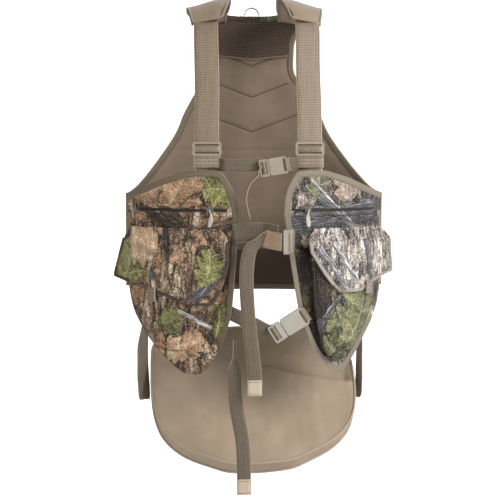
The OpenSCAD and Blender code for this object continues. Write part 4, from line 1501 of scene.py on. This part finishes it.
# X and Y of the webbing's loops in a buckle's frame. The socket's are from its slot.
PLUG_WRAP = [(0.0035, 0.0010), (0.0052, -0.0035), (0.0070, -0.0053), (0.0090, -0.0058),
             (0.0112, -0.0053), (0.0128, -0.0035), (0.0142, 0.0010)]
SOCKET_WRAP = [(-0.0008, 0.0052), (-0.0004, -0.0010), (0.0006, -0.0058), (0.0040, -0.0072),
               (0.0085, -0.0040), (0.0110, 0.0000)]
SLOT_FROM_END = 0.0055


def build_buckles():
    for name, (local, length, web) in BUCKLES.items():
        for part, line, start in (("plug", PLUG_WRAP, 0.0), ("socket", SOCKET_WRAP, length - SLOT_FROM_END)):
            node = f"{name}_{part}"
            moulded(node, 0.0012, BUCKLE_PLASTIC[name])
            rows = to_frame(spline([(start + x, y, 0) for x, y in line], 0.0012), local)
            wide = aim((0, 0, 1), local)
            like(sweep(f"{node}_wrap", rows, wide, web / 2 - 0.0006, 0.0008, WEB), node)


STRAP_ENDS = 0.0008
CHEST_WEB = 0.025
WAIST_WEB = 0.038
TAIL_WEB = 0.028
TAB_BEHIND = 0.100
TAIL_STEP = 0.006
SLEEVE_LINE = [(0.008, -0.3085, -0.470), (0.018, -0.3150, -0.473), (0.030, -0.3275, -0.475),
               (0.040, -0.3385, -0.476)]


def level_rows(node, z):
    """The middle of a level strap, as a row of points from its lowest to its highest X."""
    slices = Slices(node, along=0, across=1)
    xs = np.linspace(slices.low + STRAP_ENDS, slices.high - STRAP_ENDS, 40)
    return spline([(x, slices.middle(x), z) for x in xs[::3]], 0.004)


def tuck(rows, sign):
    """Bends a chest strap's fixed end back behind its tab, which is on the given side, and cuts it."""
    rows = rows[sign * rows[:, 0] < TAB_BEHIND]
    rows[:, 1] += 0.013 * soft(sign * rows[:, 0], 0.066, 0.080)
    return rows


def build_sternum():
    node = "sternum_strap"
    z = centre(node)[2]
    rows = tuck(level_rows(node, z), -1)
    rows[:, 2] -= 0.0035 * np.sin(np.clip((rows[:, 0] + 0.08) / 0.08, 0, 1) * math.pi)
    strap = sweep("sternum_web", rows, (0, 0.12, 1), CHEST_WEB / 2, 0.0009, WEB_OLIVE)
    blended(strap, node, "chest_plug")
    anchor = tuck(level_rows("sternum_anchor", z), 1)
    web = sweep("sternum_anchor_web", anchor, UP, CHEST_WEB / 2, 0.0009, WEB_OLIVE)
    shown_as(web, "root", "sternum_anchor")

    node = "sternum_tail"
    slices = Slices(node)
    zs = np.linspace(slices.high - STRAP_ENDS, slices.low + STRAP_ENDS, 12)
    rows = spline([(slices.middle(z), centre(node)[1], z) for z in zs], TAIL_STEP)
    first = rows[0]
    lead = spline([first + [0.006, 0.010, 0.016], first + [0.001, 0.004, 0.006], first], 0.004)[:-1]
    tail = sweep("sternum_tail_web", np.concatenate([lead, rows]), (0, 1, 0), 0.0122, 0.0008, WEB)
    shown_as(tail, BODY_OF[node], node)


def build_upper_waist():
    node = "upper_waist_strap"
    rows = level_rows(node, centre(node)[2])
    rows[:, 2] += 0.004 * np.sin(np.linspace(0, math.pi, len(rows)))
    strap = sweep("upper_waist_web", rows, (0, 0.05, 1), WAIST_WEB / 2 - 0.0002, 0.0009, WEB_OLIVE)
    blended(strap, node, "upper_plug")
    sleeve = spline(SLEEVE_LINE, 0.004)
    like(sweep("upper_waist_sleeve", sleeve, UP, 0.0172, 0.0016, PATCH), "upper_waist_plug")

    node = "upper_waist_tail"
    low, top, y = lowest(node)[2], highest(node)[2], centre(node)[1]
    slices = Slices(node)
    x = slices.middle(top)
    line = [(x + 0.028, y + 0.009, top + 0.026), (x + 0.016, y + 0.003, top + 0.012)]
    line += [(slices.middle(z), y + 0.0010 * math.sin(1.7 * k), z)
             for k, z in enumerate(np.linspace(top - 0.004, low + 0.001, 12))]
    rows = spline(line, TAIL_STEP)
    turn = np.clip(1 - np.linspace(0, 6.0, len(rows)), 0, 1)
    wide = np.stack([np.cos(turn * 0.9), np.sin(turn * 0.9), 0.6 * turn], 1)
    hang_tail("upper_tail", node, slices, rows, wide)


def hang_tail(name, node, slices, rows, wide):
    """A hanging strap with a folded and sewn end, which is a little prouder than the strap."""
    y, low, half = centre(node)[1], lowest(node)[2], TAIL_WEB / 2 - 0.0004
    shown_as(sweep(f"{name}_web", rows, wide, half, 0.0008, WEB_OLIVE), BODY_OF[node], node)
    for part, lift, top in (("tip", -0.0020, 0.031), ("fold", 0.0022, 0.027)):
        end = [(slices.middle(low + s), y + lift, low + s) for s in np.linspace(0.0008, top, 12)]
        like(sweep(f"{name}_{part}", end, (1, 0, 0), half + 0.0004, 0.0009, TIP), node)
    for k, s in enumerate((0.004, 0.027)):
        x = slices.middle(low + s)
        lane = np.array([(x + a, y - 0.0030, low + s) for a in np.linspace(-0.011, 0.011, 12)])
        like(stitches(f"{name}_stitch_{k}", lane, (0, -1, 0), THREAD, 0.003), node)


# X, Y and Z along the lower strap in its own frame, from behind the left panel to the buckle.
LOWER_LINE = [(-0.026, 0.0150, 0), (-0.008, 0.0125, 0), (0.010, 0.0070, 0), (0.030, 0.0008, 0),
              (0.05, 0.0005, 0), (0.078, 0.001, -0.002)]
LOWER_STRAP = buckle_matrix((-0.052, -0.287, -0.619), "Y", 25)


def build_lower_waist():
    node = "lower_waist_strap"
    rows = to_frame(spline(LOWER_LINE, 0.004), LOWER_STRAP)
    wide = aim((0, 0, 1), LOWER_STRAP)
    strap = sweep("lower_waist_web", rows, wide, TAIL_WEB / 2 - 0.0004, 0.0009, WEB_OLIVE)
    blended(strap, node, "lower_plug")

    node = "lower_waist_tail"
    slices = Slices(node)
    zs = np.linspace(highest(node)[2] - 0.001, lowest(node)[2] + 0.001, 14)
    y = centre(node)[1]
    rows = spline([(slices.middle(z), y + 0.0010 * math.sin(k), z) for k, z in enumerate(zs)], TAIL_STEP)
    angle = 1.3 * (1 - soft(np.linspace(0, 1, len(rows)), 0.10, 0.25))
    wide = np.stack([np.cos(angle), np.sin(angle), 0 * angle], 1)
    hang_tail("lower_tail", node, slices, rows, wide)


# ---- Seat ----------------------------------------------------------------------------

SEAT_DEPTH = 0.326
SEAT_T = 0.044
SEAT = (Matrix.Translation((0, -0.010, -0.677)) @ Matrix.Rotation(math.radians(50), 4, "X")
        @ Matrix.Translation((0, -SEAT_DEPTH / 2, 0)) @ Matrix.Rotation(math.radians(3), 4, "Z")
        @ Matrix.Translation((0, SEAT_DEPTH / 2, 0)))


# Y of the rows that the outline is read at, from the rear to the front: closer at both ends.
SEAT_ROWS = ((-0.0004, -0.012, 12), (-0.014, -0.300, 90), (-0.3015, -0.3256, 16))


def seat_spans():
    """X limits of the seat at each Y of its own plane."""
    return Slices("seat_cover", along=1, across=0, local=SEAT)


def inset_closed(loop, distance):
    """A closed flat loop, moved towards its inside."""
    along = tangents(loop, closed=True)
    normal = np.stack([-along[:, 1], along[:, 0]], 1)
    area = np.sum(loop[:, 0] * np.roll(loop[:, 1], -1) - np.roll(loop[:, 0], -1) * loop[:, 1])
    return loop + normal * distance * (1 if area > 0 else -1)


def rounded(loop, times):
    for _ in range(times):
        loop = (np.roll(loop, 1, 0) + 2 * loop + np.roll(loop, -1, 0)) / 4
    return loop


def seat_loop(inset, step=0.006):
    """The seat's outline in its own plane, anticlockwise from above."""
    spans = seat_spans()
    ys = np.concatenate([np.linspace(*part) for part in SEAT_ROWS])
    right = np.array([(spans.at(y)[1], y) for y in ys])
    left = np.array([(spans.at(y)[0], y) for y in ys])
    loop = np.concatenate([right, left[::-1], right[:1]])
    loop = even(np.column_stack([loop, np.zeros(len(loop))]), step)[:-1, :2]
    return rounded(inset_closed(loop, inset), 2)


def seat_mesh(inset, thick, rings=34):
    """A closed boxed cushion and the vertices of its seams: a top and a base of shrinking rings,
    and a wall between them."""
    loop = seat_loop(inset)
    middle = np.array([0.0, -SEAT_DEPTH * 0.5])
    count = len(loop)
    wall = [(1.0, z) for z in np.linspace(0, -thick, 8)]
    top = [(share, 0.0) for share in np.linspace(0.02, 1.0, rings)][:-1]
    base = [(share, -thick) for share in np.linspace(1.0, 0.02, rings)][1:]
    levels = top + wall + base
    verts = []
    for share, z in levels:
        verts += [(*(middle + (p - middle) * share), z) for p in loop]
    faces = []
    for a in range(0, count * (len(levels) - 1), count):
        for k in range(count):
            n = (k + 1) % count
            faces.append((a + k, a + count + k, a + count + n, a + n))
    faces.append(tuple(range(count)))
    faces.append(tuple(reversed(range(len(verts) - count, len(verts)))))
    seam = []
    for ring in (len(top), len(top) + len(wall) - 1):
        seam += range(ring * count, (ring + 1) * count)
    return np.array(verts), faces, seam


SEAT_CLOTH_SETTINGS = {
    "quality": 6, "mass": 0.3, "tension_stiffness": 18, "compression_stiffness": 18,
    "bending_stiffness": 1.5, "use_pressure": True, "uniform_pressure_force": 5.0,
    "vertex_group_mass": "pin",
}
PUFF_FRAMES = 20
PUFF_CAP = 0.012


def puffed(verts, faces, pinned):
    """The vertices after air has swelled a closed cloth. Pinned vertices stay in place."""
    mesh = bpy.data.meshes.new("puff")
    mesh.from_pydata([tuple(v) for v in verts], [], faces)
    obj = bpy.data.objects.new("puff", mesh)
    scene = bpy.context.scene
    scene.collection.objects.link(obj)
    obj.vertex_groups.new(name="pin").add(pinned, 1.0, "ADD")
    cloth = obj.modifiers.new("cloth", "CLOTH")
    for key, value in SEAT_CLOTH_SETTINGS.items():
        setattr(cloth.settings, key, value)
    cloth.settings.effector_weights.gravity = 0
    cloth.point_cache.frame_start, cloth.point_cache.frame_end = 1, PUFF_FRAMES
    for number in range(1, PUFF_FRAMES + 1):
        scene.frame_set(number)
    moved = evaluated(obj)[0]
    scene.frame_set(1)
    bpy.data.objects.remove(obj)
    bpy.data.meshes.remove(mesh)
    move = moved - verts
    size = np.linalg.norm(move, axis=1, keepdims=True)
    return verts + move * np.minimum(1, PUFF_CAP / np.maximum(size, 1e-9))


def evaluated(obj):
    """The vertices and faces of an object after its modifiers."""
    shape = obj.evaluated_get(bpy.context.evaluated_depsgraph_get()).to_mesh()
    return np.array([v.co for v in shape.vertices]), [tuple(f.vertices) for f in shape.polygons]


def subdivided(verts, faces):
    coarse = mesh_object("seat_coarse", verts, faces)
    mod = coarse.modifiers.new("smooth", "SUBSURF")
    mod.levels = mod.render_levels = 1
    fine = evaluated(coarse)
    bpy.data.objects.remove(coarse)
    return fine


def seat_crease(x, y):
    """Depth of the soft folds in the seat's top face."""
    line = y + 0.091 + 0.29 * (x - 0.031)
    width = 0.030 if line > 0 else 0.007
    fold = math.exp(-(line / width) ** 2) * float(soft(x, -0.01, 0.20)) ** 0.6
    waves = 0.0034 * ripple(x * 1.9, y * 0.5, 0.09, 41) + 0.0016 * ripple(x * 2.4, y, 0.05, 43)
    lip = math.exp(-((line + 0.016) / 0.014) ** 2) * float(soft(x, 0.02, 0.18))
    return 0.012 * fold - 0.0045 * lip - waves


# Heights in the seat's own frame that part its top face, its wall and its base.
TOP_FACE_Z = -0.012
BASE_FACE_Z = -0.036
PIPING_IN = 0.002  # From the seat's faces to the middle of its piping


def creased(verts):
    """Presses the folds into the top face and ripples the wall."""
    spans = seat_spans()
    for k, (x, y, z) in enumerate(verts):
        if z > TOP_FACE_Z:
            x0, x1 = spans.at(min(-0.001, max(y, 0.001 - SEAT_DEPTH)))
            free = float(soft(min(-y, SEAT_DEPTH + y, x1 - x, x - x0), 0.001, 0.020))
            verts[k, 2] -= seat_crease(x, y) * free
        elif z > BASE_FACE_Z:
            verts[k, 2] += 0.0012 * ripple(x + y, z, 0.02, 47)
    return verts


def build_seat():
    verts, faces, seam = seat_mesh(0.001, SEAT_T - 2 * PIPING_IN)
    verts[:, 2] -= PIPING_IN
    verts = puffed(verts, faces, seam)
    verts, faces = subdivided(verts, faces)
    verts = creased(verts)
    cloth = np.stack([verts[:, 0], verts[:, 1] + 1.1 * verts[:, 2], 0 * verts[:, 0]], 1)
    cushion = mesh_object("seat_cushion", to_frame(verts, SEAT), faces, cloth, SEAT_CLOTH)
    shown_as(cushion, "seat", "seat_cover", "seat_boxing", "seat_foam", "seat_base")
    loop = seat_loop(0.0005, 0.005)
    for name, z in (("top", -PIPING_IN), ("base", PIPING_IN - SEAT_T)):
        rows = to_frame(np.column_stack([loop, np.full(len(loop), z)]), SEAT)
        like(cord(f"seat_piping_{name}", rows, 0.0026, SEAT_EDGE, closed=True), "seat_cover")


# How far each hanger's front edge leans out, and how much of it runs up into the hem.
HANGER_FLARE = {"left": 0.021, "right": 0.006}
HANGER_INTO_HEM = 0.014


def hanger_span(z, spans, shoulder):
    """Front and rear edge of a hanger at height z. Above its shoulder it narrows into the hem."""
    y0, y1 = spans.at(min(z, shoulder))
    share = max(0.0, (z - shoulder) / 0.038)
    return y0 + 0.0015 * share, y1 - 0.0125 * share


def build_hangers():
    top = lowest("hem_binding")[2] + HANGER_INTO_HEM
    for side, sign in SIDES.items():
        node = f"seat_hanger_{side}"
        low, high = lowest(node)[2], highest(node)[2]
        spans = Slices(node, along=2, across=1)
        x = centre(node)[0]

        def row_at(v):
            z = top + (low + 0.001 - top) * v
            down = max(0.0, (high - z) / (high - low))
            y0, y1 = hanger_span(z, spans, high - 0.014)
            bow = 0.0020 * math.sin(math.pi * down) - 0.004 * down
            flare = HANGER_FLARE[side] * float(soft(down, 0.0, 0.55))

            def point(u):
                y = y0 + (y1 - y0) * u
                fold = 0.0018 * ripple(y * 2, z, 0.05, 51 + sign)
                return (x + sign * (flare * (1 - u) + bow + fold), y, z), (y, z, 0)

            return point

        mid, cloth = grid(56, 12, row_at)
        sheet = pillow(f"seat_hanger_web_{side}", mid, 0.0022, cloth, HANGER_CLOTH)
        blended(sheet, node, "seat_hangers")


# ---- Stage ---------------------------------------------------------------------------

FLOOR_DROP = 0.06
FLOOR_HALF_W = 8.0
FLOOR_FRONT, FLOOR_BEND, BEND_R, FLOOR_TOP = -9.0, 1.2, 2.0, 7.0


def build_floor():
    """A sheet of paper that lies under the seat and bends up behind it."""
    low = lowest("seat_base")[2] - FLOOR_DROP
    profile = [(FLOOR_FRONT, 0.0), (-2.0, 0.0), (FLOOR_BEND, 0.0)]
    profile += [(FLOOR_BEND + BEND_R * math.sin(a), BEND_R - BEND_R * math.cos(a))
                for a in np.linspace(0.1, math.pi / 2, 16)]
    profile.append((FLOOR_BEND + BEND_R, FLOOR_TOP))
    verts = [(x, y, low + z) for y, z in profile for x in (-FLOOR_HALF_W, FLOOR_HALF_W)]
    faces = [(2 * k, 2 * k + 1, 2 * k + 3, 2 * k + 2) for k in range(len(profile) - 1)]
    mesh_object("floor", verts, faces, None, paper_material("floor_paper", 0.90, 0.62))


def paper_material(name, grey, glow):
    """Matt paper that glows for the camera only, so that it stays white without lighting the vest."""
    g = Graph(name)
    paper = g.finish((grey, grey, grey), 0.9, None, 0, 0, 0.2)
    shader = next(n for n in g.tree.nodes if n.type == "BSDF_PRINCIPLED")
    shader.inputs["Emission Color"].default_value = (1, 1, 1, 1)
    seen = g.add("ShaderNodeLightPath").outputs["Is Camera Ray"]
    g.plug(shader.inputs["Emission Strength"], g.times(seen, glow))
    return paper


def add_light(name, place, target, size, power, colour=(1, 1, 1)):
    data = bpy.data.lights.new(name, "AREA")
    data.size = size
    data.energy = power
    data.color = colour
    lamp = bpy.data.objects.new(name, data)
    lamp.location = place
    lamp.rotation_euler = (Vector(target) - Vector(place)).to_track_quat("-Z", "Y").to_euler()
    bpy.context.scene.collection.objects.link(lamp)


LIGHT_AIM = (0, -0.15, -0.45)
WORLD_LIGHT = 0.38


def build_light():
    add_light("key", (2.3, -2.4, 1.1), LIGHT_AIM, 1.8, 140)
    add_light("fill", (-1.6, -3.0, -0.2), LIGHT_AIM, 2.2, 26, (1.0, 0.97, 0.93))
    add_light("rim", (0.3, 2.0, 1.5), LIGHT_AIM, 1.5, 30)
    world = bpy.data.worlds.new("studio")
    bpy.context.scene.world = world
    world.use_nodes = True
    tree = world.node_tree
    back = tree.nodes["Background"]
    back.inputs[0].default_value = (1, 1, 1, 1)
    path = tree.nodes.new("ShaderNodeLightPath")
    level = tree.nodes.new("ShaderNodeMapRange")
    level.inputs["To Min"].default_value = WORLD_LIGHT
    tree.links.new(path.outputs["Is Camera Ray"], level.inputs["Value"])
    tree.links.new(level.outputs[0], back.inputs[1])
    bpy.context.scene.view_settings.view_transform = "Standard"


CAMERA_TARGET = Vector((-0.010, -0.130, -0.505))
CAMERA_AZIMUTH, CAMERA_ELEVATION = math.radians(-3), math.radians(4)
CAMERA_DISTANCE = 2.6
CAMERA_LENS, CAMERA_SENSOR = 91.3, 36


def build_camera():
    data = bpy.data.cameras.new("camera")
    data.sensor_width = CAMERA_SENSOR
    data.lens = CAMERA_LENS
    cam = bpy.data.objects.new("camera", data)
    bpy.context.scene.collection.objects.link(cam)
    level = math.cos(CAMERA_ELEVATION)
    away = Vector((math.sin(CAMERA_AZIMUTH) * level, -math.cos(CAMERA_AZIMUTH) * level,
                   math.sin(CAMERA_ELEVATION)))
    cam.location = CAMERA_TARGET + away * CAMERA_DISTANCE
    cam.rotation_euler = (-away).to_track_quat("-Z", "Y").to_euler()
    bpy.context.scene.camera = cam


build_back()
build_mesh_panel()
build_back_edges()
build_collar()
build_hang_loop()
build_game_bag()
build_shoulders()
build_shoulder_straps()
build_front_panels()
build_side_joins()
build_zips()
build_pockets()
build_gussets()
build_flaps()
build_buckles()
build_sternum()
build_upper_waist()
build_lower_waist()
build_seat()
build_hangers()
build_floor()
build_light()
build_camera()
